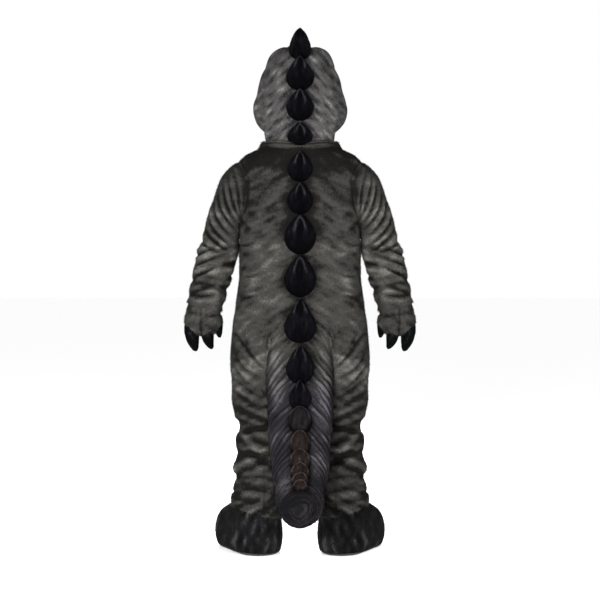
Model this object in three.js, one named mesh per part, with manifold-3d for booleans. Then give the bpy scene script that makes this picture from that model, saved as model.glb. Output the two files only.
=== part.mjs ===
// A raptor costume for an adult, worn and standing: a plush one-piece suit with a stuffed tail, a foam
// head, mitts with claws, boots, and a row of stuffed spikes from the crown to the tip of the tail.
// Units are millimetres. +Z is up, -Y is the wearer's front and +X is the wearer's left.
// Heights in the tables are above the floor. The exported group is lowered, so that its origin lies
// midway between the shoulders, where the wearer carries the costume.
import * as THREE from 'three';
import { mergeVertices } from 'three/addons/utils/BufferGeometryUtils.js';
import Module from 'manifold-3d';

const wasm = await Module();
wasm.setup();

// Driving dimensions
const SHOULDER_HEIGHT = 1440; // the origin, above the floor
const CLOTH = 4; // knit backing and short pile
const FOAM = 14; // the head's foam with its plush cover
const BOOT_WALL = 12; // the boot's foam with its plush cover
const SEAM = 0.3; // gap between sewn pieces
const SOLE = 9; // thickness of a boot's sole
const HEM = { height: 108.5, rise: 0.27 }; // height at the middle plane, and its rise to the outside
const CROTCH_HEIGHT = 665;
const HIP_HEIGHT = 745; // where the centre seams start to turn under
const HEAD_HEM = 1468; // the head's lower edge, tucked into the collar

// Colours of the plush, the spikes, the boots and the eyes
const PLUSH = new THREE.MeshStandardMaterial({ color: 0x4b4a46, roughness: 0.95, metalness: 0 });
const HEAD_PLUSH = new THREE.MeshStandardMaterial({ color: 0x5a5755, roughness: 0.95, metalness: 0 });
const TAIL_PLUSH = new THREE.MeshStandardMaterial({ color: 0x403d42, roughness: 0.95, metalness: 0 });
const BOOT_PLUSH = new THREE.MeshStandardMaterial({ color: 0x29272a, roughness: 0.95, metalness: 0 });
const SPIKE_VELVET = new THREE.MeshStandardMaterial({ color: 0x17161a, roughness: 0.9, metalness: 0 });
const SCALE_VELVET = new THREE.MeshStandardMaterial({ color: 0x3a3130, roughness: 0.9, metalness: 0 });
const CLAW_FELT = new THREE.MeshStandardMaterial({ color: 0x0d0d10, roughness: 0.85, metalness: 0 });
const SOLE_FOAM = new THREE.MeshStandardMaterial({ color: 0x121214, roughness: 0.9, metalness: 0 });
const EYE_PLASTIC = new THREE.MeshStandardMaterial({ color: 0x0a0a0b, roughness: 0.2, metalness: 0 });

// The suit's half sections. side is the outer seam's x and inner the inside leg's x. back and front are
// depths from the side seam. square is the exponent of the section's outline: 1 is an ellipse.
const SUIT_ROWS = [
  { z: 110, side: 248, inner: 68, back: 97, front: 97, square: 0.95 },
  { z: 148, side: 250, inner: 65, back: 100, front: 99, square: 0.95 },
  { z: 182, side: 245, inner: 64, back: 96, front: 96, square: 0.95 },
  { z: 205, side: 243, inner: 61, back: 93, front: 95, square: 0.95 },
  { z: 227, side: 243, inner: 56, back: 98, front: 99, square: 0.95 },
  { z: 250, side: 238, inner: 56, back: 96, front: 97, square: 0.95 },
  { z: 272, side: 232, inner: 56, back: 91, front: 93, square: 0.95 },
  { z: 295, side: 240, inner: 50, back: 98, front: 99, square: 0.95 },
  { z: 318, side: 243, inner: 45, back: 102, front: 102, square: 0.95 },
  { z: 340, side: 234, inner: 47, back: 97, front: 98, square: 0.95 },
  { z: 361, side: 226, inner: 46, back: 93, front: 95, square: 0.95 },
  { z: 384, side: 231, inner: 40, back: 99, front: 100, square: 0.95 },
  { z: 406, side: 235, inner: 35, back: 103, front: 105, square: 0.95 },
  { z: 428, side: 229, inner: 36, back: 98, front: 103, square: 0.95 },
  { z: 450, side: 218, inner: 35, back: 94, front: 100, square: 0.95 },
  { z: 473, side: 223, inner: 29, back: 99, front: 106, square: 0.95 },
  { z: 500, side: 236, inner: 22, back: 107, front: 112, square: 0.95 },
  { z: 540, side: 244, inner: 16, back: 112, front: 115, square: 0.95 },
  { z: 600, side: 247, inner: 9, back: 118, front: 120, square: 0.93 },
  { z: 648, side: 248, inner: 2, back: 126, front: 126, square: 0.98 },
  { z: 665, side: 249, inner: 0, back: 129, front: 128, square: 1 },
  { z: 705, side: 250, inner: 0, back: 136, front: 133, square: 1 },
  { z: 763, side: 250, inner: 0, back: 149, front: 143, square: 1 },
  { z: 830, side: 244, inner: 0, back: 149, front: 150, square: 0.92 },
  { z: 900, side: 232, inner: 0, back: 143, front: 156, square: 0.85 },
  { z: 1010, side: 220, inner: 0, back: 137, front: 159, square: 0.85 },
  { z: 1140, side: 218, inner: 0, back: 140, front: 153, square: 0.83 },
  { z: 1230, side: 223, inner: 0, back: 142, front: 148, square: 0.82 },
  { z: 1320, side: 228, inner: 0, back: 141, front: 141, square: 0.82 },
  { z: 1395, side: 231, inner: 0, back: 137, front: 134, square: 0.84 },
  { z: 1422, side: 219, inner: 0, back: 133, front: 128, square: 0.88 },
  { z: 1443, side: 188, inner: 0, back: 129, front: 123, square: 0.94 },
  { z: 1458, side: 157, inner: 0, back: 126, front: 119, square: 1 },
  { z: 1480, side: 141, inner: 0, back: 123, front: 116, square: 1 },
];
const EXTRA_LEVELS = [745, 726, 686]; // more rings where the seams turn under the body

// The sleeve's axis and its radii across the arm, sideways and front to back, from inside the armhole
const SLEEVE_ROWS = [
  { t: 0, x: 134, y: 0, z: 1356, wide: 89, deep: 94 },
  { t: 1, x: 200, y: 0, z: 1321, wide: 92, deep: 95 },
  { t: 2, x: 241, y: -2, z: 1257, wide: 78, deep: 90 },
  { t: 3, x: 270, y: -4, z: 1200, wide: 68, deep: 84 },
  { t: 4, x: 285.5, y: -6, z: 1154, wide: 63.5, deep: 79 },
  { t: 5, x: 290, y: -8, z: 1114, wide: 65, deep: 79 },
  { t: 6, x: 302, y: -9, z: 1076, wide: 72, deep: 82 },
  { t: 7, x: 311, y: -10, z: 1042, wide: 69, deep: 75 },
  { t: 8, x: 318, y: -12, z: 1008, wide: 71, deep: 76 },
  { t: 9, x: 329, y: -13, z: 975, wide: 66, deep: 69 },
  { t: 10, x: 336, y: -14, z: 942, wide: 68, deep: 71 },
  { t: 11, x: 343, y: -15, z: 912, wide: 63, deep: 66 },
  { t: 12, x: 348, y: -16, z: 892, wide: 66, deep: 63 },
];
const CUFF = SLEEVE_ROWS.length - 1;

// The mitt's axis and radii, from the cuff inside the sleeve down to the knuckles
const MITT_ROWS = [
  { t: 0, x: 342, y: -15, z: 922, wide: 60, deep: 58 },
  { t: 1, x: 348, y: -16, z: 893, wide: 61, deep: 57 },
  { t: 2, x: 351, y: -16, z: 872, wide: 64, deep: 55 },
  { t: 3, x: 352, y: -17, z: 856, wide: 69, deep: 55 },
  { t: 4, x: 352, y: -18, z: 832, wide: 70, deep: 51 },
  { t: 5, x: 351, y: -20, z: 812, wide: 63, deep: 43 },
  { t: 6, x: 350, y: -21, z: 796, wide: 44, deep: 31 },
  { t: 7, x: 350, y: -22, z: 787, wide: 14, deep: 11 },
];
// Claws of the left hand: foot of the claw, tip and half widths
const CLAWS = [
  { name: '1', x: 394, y: -18, z: 822, tipX: 382, tipY: -46, tipZ: 727, wide: 28, deep: 33 },
  { name: '2', x: 337, y: -20, z: 806, tipX: 324, tipY: -44, tipZ: 735, wide: 24, deep: 30 },
  { name: '3', x: 298, y: -22, z: 832, tipX: 294, tipY: -46, tipZ: 777, wide: 17, deep: 24 },
];

// The tail's axis and radius, from inside the seat to the blunt tip
const TAIL_ROWS = [
  { t: 0, y: 40, z: 800, r: 119 },
  { t: 1, y: 92, z: 715, r: 121 },
  { t: 2, y: 135, z: 630, r: 118 },
  { t: 3, y: 180, z: 548, r: 113 },
  { t: 4, y: 235, z: 468, r: 107 },
  { t: 5, y: 300, z: 397, r: 101 },
  { t: 6, y: 372, z: 338, r: 93 },
  { t: 7, y: 450, z: 295, r: 83 },
  { t: 8, y: 528, z: 270, r: 77 },
  { t: 9, y: 598, z: 262, r: 66 },
  { t: 10, y: 650, z: 266, r: 51 },
  { t: 11, y: 682, z: 276, r: 32 },
  { t: 12, y: 693, z: 281, r: 15 },
];

// The head is the blend of these ellipsoids, as seen from HEAD_CENTRE
const HEAD_CENTRE = new THREE.Vector3(0, -60, 1650);
const HEAD_BLOBS = [
  { at: [0, 3, 1640], half: [127, 113, 199] }, // back of the skull
  { at: [0, 6, 1560], half: [127, 104, 262] }, // neck
  { at: [0, -85, 1676], half: [155, 146, 158] }, // face
  { at: [0, -80, 1610], half: [171, 140, 116] }, // cheeks
  { at: [0, -34, 1622], half: [148, 124, 126] }, // jowls
  { at: [0, -215, 1672], half: [92, 186, 80] }, // snout
  { at: [0, -318, 1668], half: [74, 98, 66] }, // nose
  { at: [0, -200, 1606], half: [84, 180, 62] }, // chin
  { at: [60, -84, 1776], half: [56, 80, 64] }, // left brow
  { at: [-60, -84, 1776], half: [56, 80, 64] }, // right brow
];
const HEAD_BLEND = 14; // a higher power keeps the valleys between the blobs sharper
const MOUTH = { height: 1634, slope: 0.05, corner: -150, groove: 6, depth: 6 };
const EYES = { x: 0.66, y: -0.6, z: 0.42, radius: 30, sunk: 10 };

// The spikes down the middle: where each stands on the crown, the back or the tail, and its size.
// at is the angle from straight up for the head, the height for the back and the t of the tail.
const SPIKES = [
  { name: 'spike_head_1', on: 'head', at: 37, wide: 80, long: 98, tall: 71, bullet: true },
  { name: 'spike_head_2', on: 'head', at: 70, wide: 100, long: 108, tall: 74 },
  { name: 'spike_head_3', on: 'head', at: 104, wide: 98, long: 106, tall: 72 },
  { name: 'spike_head_4', on: 'head', at: 131, wide: 90, long: 84, tall: 62 },
  { name: 'spike_back_1', on: 'back', at: 1384, wide: 92, long: 98, tall: 68 },
  { name: 'spike_back_2', on: 'back', at: 1273, wide: 94, long: 104, tall: 76 },
  { name: 'spike_back_3', on: 'back', at: 1146, wide: 114, long: 134, tall: 86 },
  { name: 'spike_back_4', on: 'back', at: 997, wide: 114, long: 140, tall: 88 },
  { name: 'spike_back_5', on: 'tail', at: 0.4, wide: 112, long: 144, tall: 82 },
  { name: 'spike_tail_1', on: 'tail', at: 1.97, wide: 98, long: 126, tall: 68 },
  { name: 'spike_tail_2', on: 'tail', at: 3.3, wide: 78, long: 98, tall: 56 },
  { name: 'spike_tail_3', on: 'tail', at: 4.47, wide: 77, long: 94, tall: 52 },
  { name: 'spike_tail_4', on: 'tail', at: 5.67, wide: 68, long: 92, tall: 47 },
  { name: 'spike_tail_5', on: 'tail', at: 6.7, wide: 69, long: 84, tall: 42 },
  { name: 'spike_tail_6', on: 'tail', at: 7.6, wide: 63, long: 76, tall: 35 },
  { name: 'spike_tail_7', on: 'tail', at: 8.48, wide: 56, long: 66, tall: 29 },
  { name: 'spike_tail_8', on: 'tail', at: 9.28, wide: 49, long: 58, tall: 24 },
];
const FIRST_BLUNT = 11; // from this one down the spikes are brown and rounded

// The boots: a round of radius heel about the ankle and a round of radius ball, set reach further
// on the way the toes point, wrapped together at each height
const BOOT = { x: 151, y: 12, turnedOut: 27 };
const BOOT_ROWS = [
  { z: 0, heel: 70, ball: 76, reach: 142 },
  { z: 9, heel: 79, ball: 86, reach: 146 },
  { z: 30, heel: 86, ball: 95, reach: 149 },
  { z: 70, heel: 88, ball: 97, reach: 149 },
  { z: 105, heel: 85, ball: 90, reach: 148 },
  { z: 132, heel: 81, ball: 76, reach: 145 },
  { z: 152, heel: 77, ball: 56, reach: 137 },
  { z: 166, heel: 74, ball: 42, reach: 106 },
  { z: 180, heel: 71, ball: 52, reach: 46 },
  { z: 198, heel: 68, ball: 64, reach: 9 },
  { z: 250, heel: 66, ball: 65, reach: 2 },
];

// The collar, a band rolled over the neckline: its middle, its half height and its half thickness
const COLLAR = { side: 133, back: 117, front: 112, z: 1470, tall: 17, thick: 13, dip: 7 };

// A smooth curve through the rows of a table: f(value of the key column) gives every other column.
function tableCurve(rows, key) {
  const names = Object.keys(rows[0]).filter((name) => name !== key);
  const slope = (name, i) => {
    const a = rows[Math.max(0, i - 1)];
    const b = rows[Math.min(rows.length - 1, i + 1)];
    return (b[name] - a[name]) / (b[key] - a[key]);
  };
  return (value) => {
    let i = 1;
    while (i < rows.length - 1 && value > rows[i][key]) i += 1;
    const [a, b] = [rows[i - 1], rows[i]];
    const span = b[key] - a[key];
    const u = (value - a[key]) / span;
    const found = {};
    for (const name of names) {
      const [p, q] = [a[name], b[name]];
      const [m, n] = [slope(name, i - 1) * span, slope(name, i) * span];
      found[name] = p + u * (m + u * (3 * (q - p) - 2 * m - n + u * (2 * (p - q) + m + n)));
    }
    return found;
  };
}

const signedPower = (value, power) => Math.sign(value) * Math.abs(value) ** power;
const range = (count) => Array.from({ length: count }, (_, i) => i);
const between = (from, to, count) => range(count).map((i) => from + ((to - from) * i) / (count - 1));

// Meshes and solids

// A solid from points and triangles, turned so that its faces point out.
function solid(points, triangles) {
  let volume = 0;
  for (const [a, b, c] of triangles) {
    volume += points[a].dot(new THREE.Vector3().crossVectors(points[b], points[c]));
  }
  const turned = volume < 0 ? triangles.map(([a, b, c]) => [a, c, b]) : triangles;
  const geometry = new THREE.BufferGeometry().setFromPoints(points);
  geometry.setIndex(turned.flat());
  const merged = mergeVertices(geometry, 1e-4);
  return new wasm.Manifold(
    new wasm.Mesh({
      numProp: 3,
      vertProperties: merged.attributes.position.array,
      triVerts: new Uint32Array(merged.index.array),
    }),
  );
}

// Two triangles for each square of a grid of point numbers.
function gridFaces(number, rows, columns, closed) {
  const faces = [];
  for (let i = 0; i < rows - 1; i += 1) {
    for (let j = 0; j < (closed ? columns : columns - 1); j += 1) {
      const k = (j + 1) % columns;
      const [a, b, c, d] = [number(i, j), number(i, k), number(i + 1, k), number(i + 1, j)];
      faces.push([a, b, c], [a, c, d]);
    }
  }
  return faces;
}

// A closed solid through rings of points, with a flat fan over each end.
function loft(rings) {
  const columns = rings[0].length;
  const points = rings.flat();
  const faces = gridFaces((i, j) => i * columns + j, rings.length, columns, true);
  const cap = (ring, first, turned) => {
    const middle = ring.reduce((sum, p) => sum.add(p), new THREE.Vector3()).divideScalar(columns);
    points.push(middle);
    for (let j = 0; j < columns; j += 1) {
      const [a, b] = [first + j, first + ((j + 1) % columns)];
      faces.push(turned ? [points.length - 1, b, a] : [points.length - 1, a, b]);
    }
  };
  cap(rings[0], 0, true);
  cap(rings[rings.length - 1], (rings.length - 1) * columns, false);
  return solid(points, faces);
}

// Points of a surface on a grid, each moved out along the surface's normal.
function sample(surface, across, along, moved) {
  const step = 1e-3;
  const turn = surface.turn ?? 1;
  return along.map((v) =>
    across.map((u) => {
      const du = surface(u + step, v).sub(surface(u - step, v));
      const dv = surface(u, v + step * surface.scale).sub(surface(u, v - step * surface.scale));
      const normal = du.cross(dv).normalize().multiplyScalar(turn);
      return surface(u, v).addScaledVector(normal, moved);
    }),
  );
}

// A wall of cloth: the surface outside, the same surface moved in by the thickness, and its edges.
function wall(surface, across, along, thickness, closed = false) {
  const outer = sample(surface, across, along, 0);
  const inner = sample(surface, across, along, -thickness);
  const [rows, columns] = [along.length, across.length];
  const count = rows * columns;
  const out = (i, j) => i * columns + j;
  const into = (i, j) => count + i * columns + j;
  const faces = gridFaces(out, rows, columns, closed);
  faces.push(...gridFaces(into, rows, columns, closed).map(([a, b, c]) => [a, c, b]));
  const strip = (edge) => {
    for (let k = 0; k < edge.length - 1; k += 1) {
      const [[i, j], [m, n]] = [edge[k], edge[k + 1]];
      faces.push([out(i, j), into(i, j), into(m, n)], [out(i, j), into(m, n), out(m, n)]);
    }
  };
  const top = range(columns).map((j) => [0, j]);
  const bottom = range(columns).map((j) => [rows - 1, columns - 1 - j]);
  if (closed) {
    strip([...top, [0, 0]]);
    strip([[rows - 1, 0], ...bottom]);
  } else {
    strip(top);
    strip(bottom);
    strip(range(rows).map((i) => [i, columns - 1]));
    strip(range(rows).map((i) => [rows - 1 - i, 0]));
  }
  return solid([...outer.flat(), ...inner.flat()], faces);
}

const moved = (made, x, y, z) => made.translate([x, y, z]);
const mirrored = (made) => made.mirror([1, 0, 0]);

// A box between two corners, as a solid.
function block(low, high) {
  const size = new THREE.Vector3().subVectors(high, low);
  const geometry = new THREE.BoxGeometry(size.x, size.y, size.z).deleteAttribute('normal');
  geometry.deleteAttribute('uv');
  geometry.translate(...new THREE.Vector3().addVectors(low, high).multiplyScalar(0.5).toArray());
  const merged = mergeVertices(geometry);
  return new wasm.Manifold(
    new wasm.Mesh({
      numProp: 3,
      vertProperties: merged.attributes.position.array,
      triVerts: new Uint32Array(merged.index.array),
    }),
  );
}

// The suit

const suitRow = tableCurve(SUIT_ROWS, 'z');

// How far round the half section runs: a quarter turn to the centre seam, or half a turn round a leg.
function suitWrap(z) {
  const under = THREE.MathUtils.clamp((HIP_HEIGHT - z) / (HIP_HEIGHT - CROTCH_HEIGHT), 0, 1);
  return Math.PI / 2 + Math.asin(under);
}

// A point of the left half of the suit. around runs from -1 at the front through 0 at the side to 1.
function suitSurface(around, z) {
  const row = suitRow(z);
  const wrap = suitWrap(z);
  const reach = signedPower(Math.cos(wrap), row.square);
  const half = (row.side - row.inner) / (1 - reach);
  const angle = around * wrap;
  const depth = around >= 0 ? row.back : row.front;
  return new THREE.Vector3(
    row.side - half + half * signedPower(Math.cos(angle), row.square),
    depth * signedPower(Math.sin(angle), row.square),
    z,
  );
}
suitSurface.scale = 1000;
suitSurface.turn = 1;

const SUIT_LEVELS = [...SUIT_ROWS.map((row) => row.z), ...EXTRA_LEVELS].sort((a, b) => a - b);
const PANEL_COLUMNS = 7;
const SLEEVE_COLUMNS = 14;
const MITT_COLUMNS = 12;
const TAIL_COLUMNS = 18;

// The whole left half as a filled solid, moved out by a given distance: a tool for cutting only.
function suitFilled(out) {
  const across = between(-1, 1, 2 * PANEL_COLUMNS - 1);
  const rings = sample(suitSurface, across, SUIT_LEVELS, out);
  for (const ring of rings) {
    ring[0].x = Math.min(ring[0].x, -1);
    ring[ring.length - 1].x = Math.min(ring[ring.length - 1].x, -1);
  }
  return loft(rings);
}

// Sleeves, mitts and tail are tubes round an axis in a table.
function tube(rows) {
  const row = tableCurve(rows, 't');
  const surface = (around, t) => {
    const here = row(t);
    const ahead = row(t + 0.01);
    const axis = new THREE.Vector3((ahead.x ?? 0) - (here.x ?? 0), ahead.y - here.y, ahead.z - here.z);
    axis.normalize();
    const sideways = new THREE.Vector3(1, 0, 0).addScaledVector(axis, -axis.x).normalize();
    const across = new THREE.Vector3().crossVectors(sideways, axis);
    const angle = around * 2 * Math.PI;
    return new THREE.Vector3(here.x ?? 0, here.y, here.z)
      .addScaledVector(sideways, Math.cos(angle) * (here.wide ?? here.r))
      .addScaledVector(across, Math.sin(angle) * (here.deep ?? here.r));
  };
  surface.scale = 1;
  surface.turn = -1;
  return surface;
}

const round = (count) => range(count).map((i) => i / count);
const tubeFilled = (surface, columns, along, out) => loft(sample(surface, round(columns), along, out));

const sleeveSurface = tube(SLEEVE_ROWS);
const mittSurface = tube(MITT_ROWS);
const tailSurface = tube(TAIL_ROWS);
const SLEEVE_STEPS = [0, 0.5, 1, 1.5, ...range(CUFF - 1).map((i) => i + 2)];
const MITT_STEPS = range(MITT_ROWS.length);
const TAIL_STEPS = range(TAIL_ROWS.length);

// The head

// How far the head's surface, drawn in by a given inset, lies from HEAD_CENTRE in a direction.
function headReach(direction, inset = 0) {
  let sum = 0;
  for (const { at, half } of HEAD_BLOBS) {
    const size = new THREE.Vector3(...half).subScalar(inset);
    const start = HEAD_CENTRE.clone().sub(new THREE.Vector3(...at)).divide(size);
    const ray = direction.clone().divide(size);
    const a = ray.lengthSq();
    const b = start.dot(ray);
    const free = b * b - a * (start.lengthSq() - 1);
    const far = free > 0 ? (-b + Math.sqrt(free)) / a : 0;
    if (far > 0) sum += (far * THREE.MathUtils.smoothstep(free / a, 0, 0.3)) ** HEAD_BLEND;
  }
  return sum ** (1 / HEAD_BLEND);
}

// The head as a filled solid. Its rings stand across the line through the snout.
function headFilled(inset) {
  const rings = HEAD_STEPS.map((back) =>
    range(HEAD_COLUMNS).map((j) => {
      const turn = (2 * Math.PI * j) / HEAD_COLUMNS;
      const direction = new THREE.Vector3(
        Math.sin(back) * Math.cos(turn),
        -Math.cos(back),
        Math.sin(back) * Math.sin(turn),
      );
      return HEAD_CENTRE.clone().addScaledVector(direction, headReach(direction, inset));
    }),
  );
  return loft(rings);
}
const HEAD_COLUMNS = 22;
const HEAD_STEPS = [0.06, 0.15, 0.25, 0.36, 0.49, 0.65, 0.83, 1.02, 1.21, 1.4, 1.58, 1.76, 1.95, 2.15,
  2.36, 2.58, 2.82, 3.04];

// The middle line: a point on the crown, the back or the tail, its normal and the way up along the line.
function spinePoint(on, at) {
  const place = {
    head: (value) => {
      const angle = THREE.MathUtils.degToRad(value);
      const direction = new THREE.Vector3(0, Math.sin(angle), Math.cos(angle));
      return HEAD_CENTRE.clone().addScaledVector(direction, headReach(direction));
    },
    back: (value) => suitSurface(1, value).setX(0),
    tail: (value) => tailSurface(0.25, value),
  }[on];
  const step = on === 'tail' ? 0.02 : on === 'head' ? 1 : -5;
  const point = place(at);
  const up = place(at - step).sub(place(at + step)).normalize();
  const normal = new THREE.Vector3().crossVectors(up, new THREE.Vector3(1, 0, 0));
  if (normal.y + normal.z < 0) normal.negate();
  return { point, normal, up };
}

// A stuffed spike: a leaf-shaped foot, pointed at its upper end, under a ridge that leans up the line.
// Its foot runs below the surface that it is sewn to, and is cut off there.
const SPIKE_LEVELS = [0, 0.25, 0.5, 0.72, 0.88, 0.98];
const SPIKE_SUNK = 22;
const SPIKE_LEAN = 0.2;
const SPIKE_COLUMNS = 8;
function spike({ on, at, wide, long, tall, bullet }, blunt) {
  const { point, normal, up } = spinePoint(on, at);
  const ring = (level, height) => {
    let narrowing = blunt ? Math.sqrt(1 - level ** 2.2) : 1 - level ** 1.5;
    if (bullet) narrowing = Math.sqrt(1 - level ** 1.4);
    const shortening = Math.sqrt(1 - level ** 2.2);
    const centre = point.clone().addScaledVector(normal, height);
    centre.addScaledVector(up, level * long * SPIKE_LEAN);
    return range(SPIKE_COLUMNS).map((j) => {
      const angle = (2 * Math.PI * j) / SPIKE_COLUMNS;
      const pointed = blunt ? 1 : 1 - 0.35 * Math.max(0, Math.cos(angle));
      return centre
        .clone()
        .addScaledVector(up, (shortening * long * Math.cos(angle)) / 2)
        .add(new THREE.Vector3((narrowing * wide * Math.sin(angle) * pointed) / 2, 0, 0));
    });
  };
  return loft([ring(0, -SPIKE_SUNK), ...SPIKE_LEVELS.map((level) => ring(level, level * tall))]);
}

// A claw: rings that shrink from the knuckle to the tip along a slight bend.
function claw({ x, y, z, tipX, tipY, tipZ, wide, deep }) {
  const foot = new THREE.Vector3(x, y, z);
  const tip = new THREE.Vector3(tipX, tipY, tipZ);
  const bend = new THREE.QuadraticBezierCurve3(
    foot,
    new THREE.Vector3(x + (x - tipX) * 0.25, y + 4, (z + tipZ) / 2),
    tip,
  );
  const columns = 8;
  const rings = [0, 0.22, 0.45, 0.66, 0.84, 0.96].map((level) => {
    const centre = bend.getPoint(level);
    const share = Math.sqrt(1 - level ** 1.9) * (level === 0 ? 0.93 : 1);
    return range(columns).map((j) => {
      const angle = (2 * Math.PI * j) / columns;
      return centre
        .clone()
        .add(new THREE.Vector3(wide * share * Math.cos(angle), deep * share * Math.sin(angle), 0));
    });
  });
  return loft(rings);
}

// The left boot as a filled solid between two heights, drawn in by an inset.
const bootRow = tableCurve(BOOT_ROWS, 'z');
const BOOT_COLUMNS = 18;
function bootFilled(heights, inset) {
  const turn = THREE.MathUtils.degToRad(BOOT.turnedOut);
  const ahead = new THREE.Vector3(Math.sin(turn), -Math.cos(turn), 0);
  const rings = heights.map((z) => {
    const row = bootRow(z);
    return range(BOOT_COLUMNS).map((j) => {
      const angle = (2 * Math.PI * (j + 0.5)) / BOOT_COLUMNS - Math.PI / 2;
      const facing = ahead.clone().applyAxisAngle(new THREE.Vector3(0, 0, 1), angle);
      const toeward = facing.dot(ahead) > 0;
      return new THREE.Vector3(BOOT.x, BOOT.y, z)
        .addScaledVector(ahead, toeward ? row.reach : 0)
        .addScaledVector(facing, (toeward ? row.ball : row.heel) - inset);
    });
  });
  return loft(rings);
}

// Assembly. Everything to one side is made on the left and mirrored for the right.

const group = new THREE.Group();
function add(name, made, material) {
  const { numProp, vertProperties, triVerts } = made.getMesh();
  const corners = new Float32Array((vertProperties.length / numProp) * 3);
  for (let i = 0; i < corners.length / 3; i += 1) {
    corners.set(vertProperties.subarray(i * numProp, i * numProp + 3), i * 3);
  }
  const geometry = new THREE.BufferGeometry();
  geometry.setAttribute('position', new THREE.BufferAttribute(corners, 3));
  geometry.setIndex(new THREE.BufferAttribute(triVerts, 1));
  geometry.translate(0, 0, -SHOULDER_HEIGHT);
  geometry.computeVertexNormals();
  const mesh = new THREE.Mesh(geometry, material);
  mesh.name = name;
  group.add(mesh);
}
function addPair(name, made, material) {
  add(`${name}_left`, made, material);
  add(`${name}_right`, mirrored(made), material);
}

const HALF = SEAM / 2;
const leftHalf = suitFilled(SEAM);
const bothHalves = leftHalf.add(mirrored(leftHalf));

// The sleeve
const sleeveSteps = SLEEVE_STEPS;
const sleeveWall = wall(sleeveSurface, round(SLEEVE_COLUMNS), sleeveSteps, CLOTH, true);
const sleeveRoom = tubeFilled(sleeveSurface, SLEEVE_COLUMNS, sleeveSteps, SEAM);
const sleeve = sleeveWall.subtract(leftHalf);

// The tail with its spikes, against the seat and the backs of the legs
const legLevels = SUIT_LEVELS.filter((z) => z <= HIP_HEIGHT);
const betweenLegs = loft(
  legLevels.map((z) => {
    const { side, inner, back } = suitRow(z);
    const x = (side + inner) / 2;
    return [
      new THREE.Vector3(-x, -150, z),
      new THREE.Vector3(x, -150, z),
      new THREE.Vector3(x, back + SEAM, z),
      new THREE.Vector3(-x, back + SEAM, z),
    ];
  }),
);
const tailWhole = tubeFilled(tailSurface, TAIL_COLUMNS, TAIL_STEPS, 0);
const tailRoom = tubeFilled(tailSurface, TAIL_COLUMNS, TAIL_STEPS, SEAM);
const tail = tailWhole.subtract(bothHalves).subtract(betweenLegs);

// The boot
const bootHeights = BOOT_ROWS.map((row) => row.z);
const upperHeights = [SOLE + SEAM, ...bootHeights.slice(2)];
const bootWhole = bootFilled(upperHeights, 0);
const bootHollow = bootFilled([0, ...upperHeights, 260], BOOT_WALL);
const sole = bootFilled([0, SOLE], 0);
const bootRoom = bootFilled(bootHeights, -SEAM);

// The suit's four panels
const hemNormal = new THREE.Vector3(-HEM.rise, 0, 1);
const hemLength = hemNormal.length();
hemNormal.normalize();
function panel(from, to, shift) {
  const across = between(from, to, PANEL_COLUMNS);
  return moved(wall(suitSurface, across, SUIT_LEVELS, CLOTH), HALF, shift, 0)
    .trimByPlane(hemNormal.toArray(), HEM.height / hemLength)
    .trimByPlane([1, 0, 0], HALF)
    .trimByPlane([0, Math.sign(shift), 0], HALF)
    .subtract(sleeveRoom)
    .subtract(bootRoom);
}
addPair('back_panel', panel(0, 1, HALF), PLUSH);
addPair('front_panel', panel(-1, 0, -HALF), PLUSH);
addPair('sleeve', sleeve, PLUSH);

// The collar's halves, round the head's neck
const headRoom = headFilled(-SEAM);
const COLLAR_STEPS = 10;
const COLLAR_COLUMNS = 8;
function collarBand(grown) {
  const rings = between(-Math.PI / 2, Math.PI / 2, COLLAR_STEPS).map((angle) => {
    const depth = angle > 0 ? COLLAR.back : COLLAR.front;
    const middle = new THREE.Vector3(
      COLLAR.side * Math.cos(angle),
      depth * Math.sin(angle),
      COLLAR.z - COLLAR.dip * Math.sin(angle) ** 6,
    );
    const out = new THREE.Vector3(Math.cos(angle), Math.sin(angle), 0);
    return range(COLLAR_COLUMNS).map((j) => {
      const turn = (2 * Math.PI * j) / COLLAR_COLUMNS;
      return middle
        .clone()
        .addScaledVector(out, (COLLAR.thick + grown) * Math.cos(turn))
        .add(new THREE.Vector3(0, 0, (COLLAR.tall + grown) * signedPower(Math.sin(turn), 0.8)));
    });
  });
  return loft(rings);
}
const collarHalf = moved(collarBand(0), HALF, 0, 0)
  .subtract(suitFilled(SEAM))
  .subtract(headRoom)
  .subtract(mirrored(headRoom))
  .trimByPlane([1, 0, 0], HALF);
const collarRoom = moved(collarBand(SEAM), HALF, 0, 0).add(mirrored(moved(collarBand(SEAM), HALF, 0, 0)));
addPair('collar', collarHalf, PLUSH);

// The head, open at the neck
const headOuter = headFilled(0);
const headHollow = headFilled(FOAM);
const eyeDirection = new THREE.Vector3(EYES.x, EYES.y, EYES.z).normalize();
const eyeReach = headReach(eyeDirection) - EYES.sunk;
const eyeCentre = HEAD_CENTRE.clone().addScaledVector(eyeDirection, eyeReach);
const ball = (radius) => moved(wasm.Manifold.sphere(radius, 12), ...eyeCentre.toArray());
const mouthSlab = block(
  new THREE.Vector3(-300, -600, -MOUTH.groove / 2),
  new THREE.Vector3(300, MOUTH.corner, MOUTH.groove / 2),
);
const mouthTilt = THREE.MathUtils.radToDeg(Math.atan(MOUTH.slope));
const mouth = moved(mouthSlab.rotate([-mouthTilt, 0, 0]), 0, 0, MOUTH.height).subtract(
  headFilled(MOUTH.depth),
);
const head = headOuter
  .subtract(headHollow)
  .subtract(mouth)
  .trimByPlane([0, 0, 1], HEAD_HEM)
  .subtract(ball(EYES.radius + SEAM))
  .subtract(mirrored(ball(EYES.radius + SEAM)));
add('head', head, HEAD_PLUSH);
addPair('eye', ball(EYES.radius).subtract(headHollow), EYE_PLASTIC);

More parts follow.
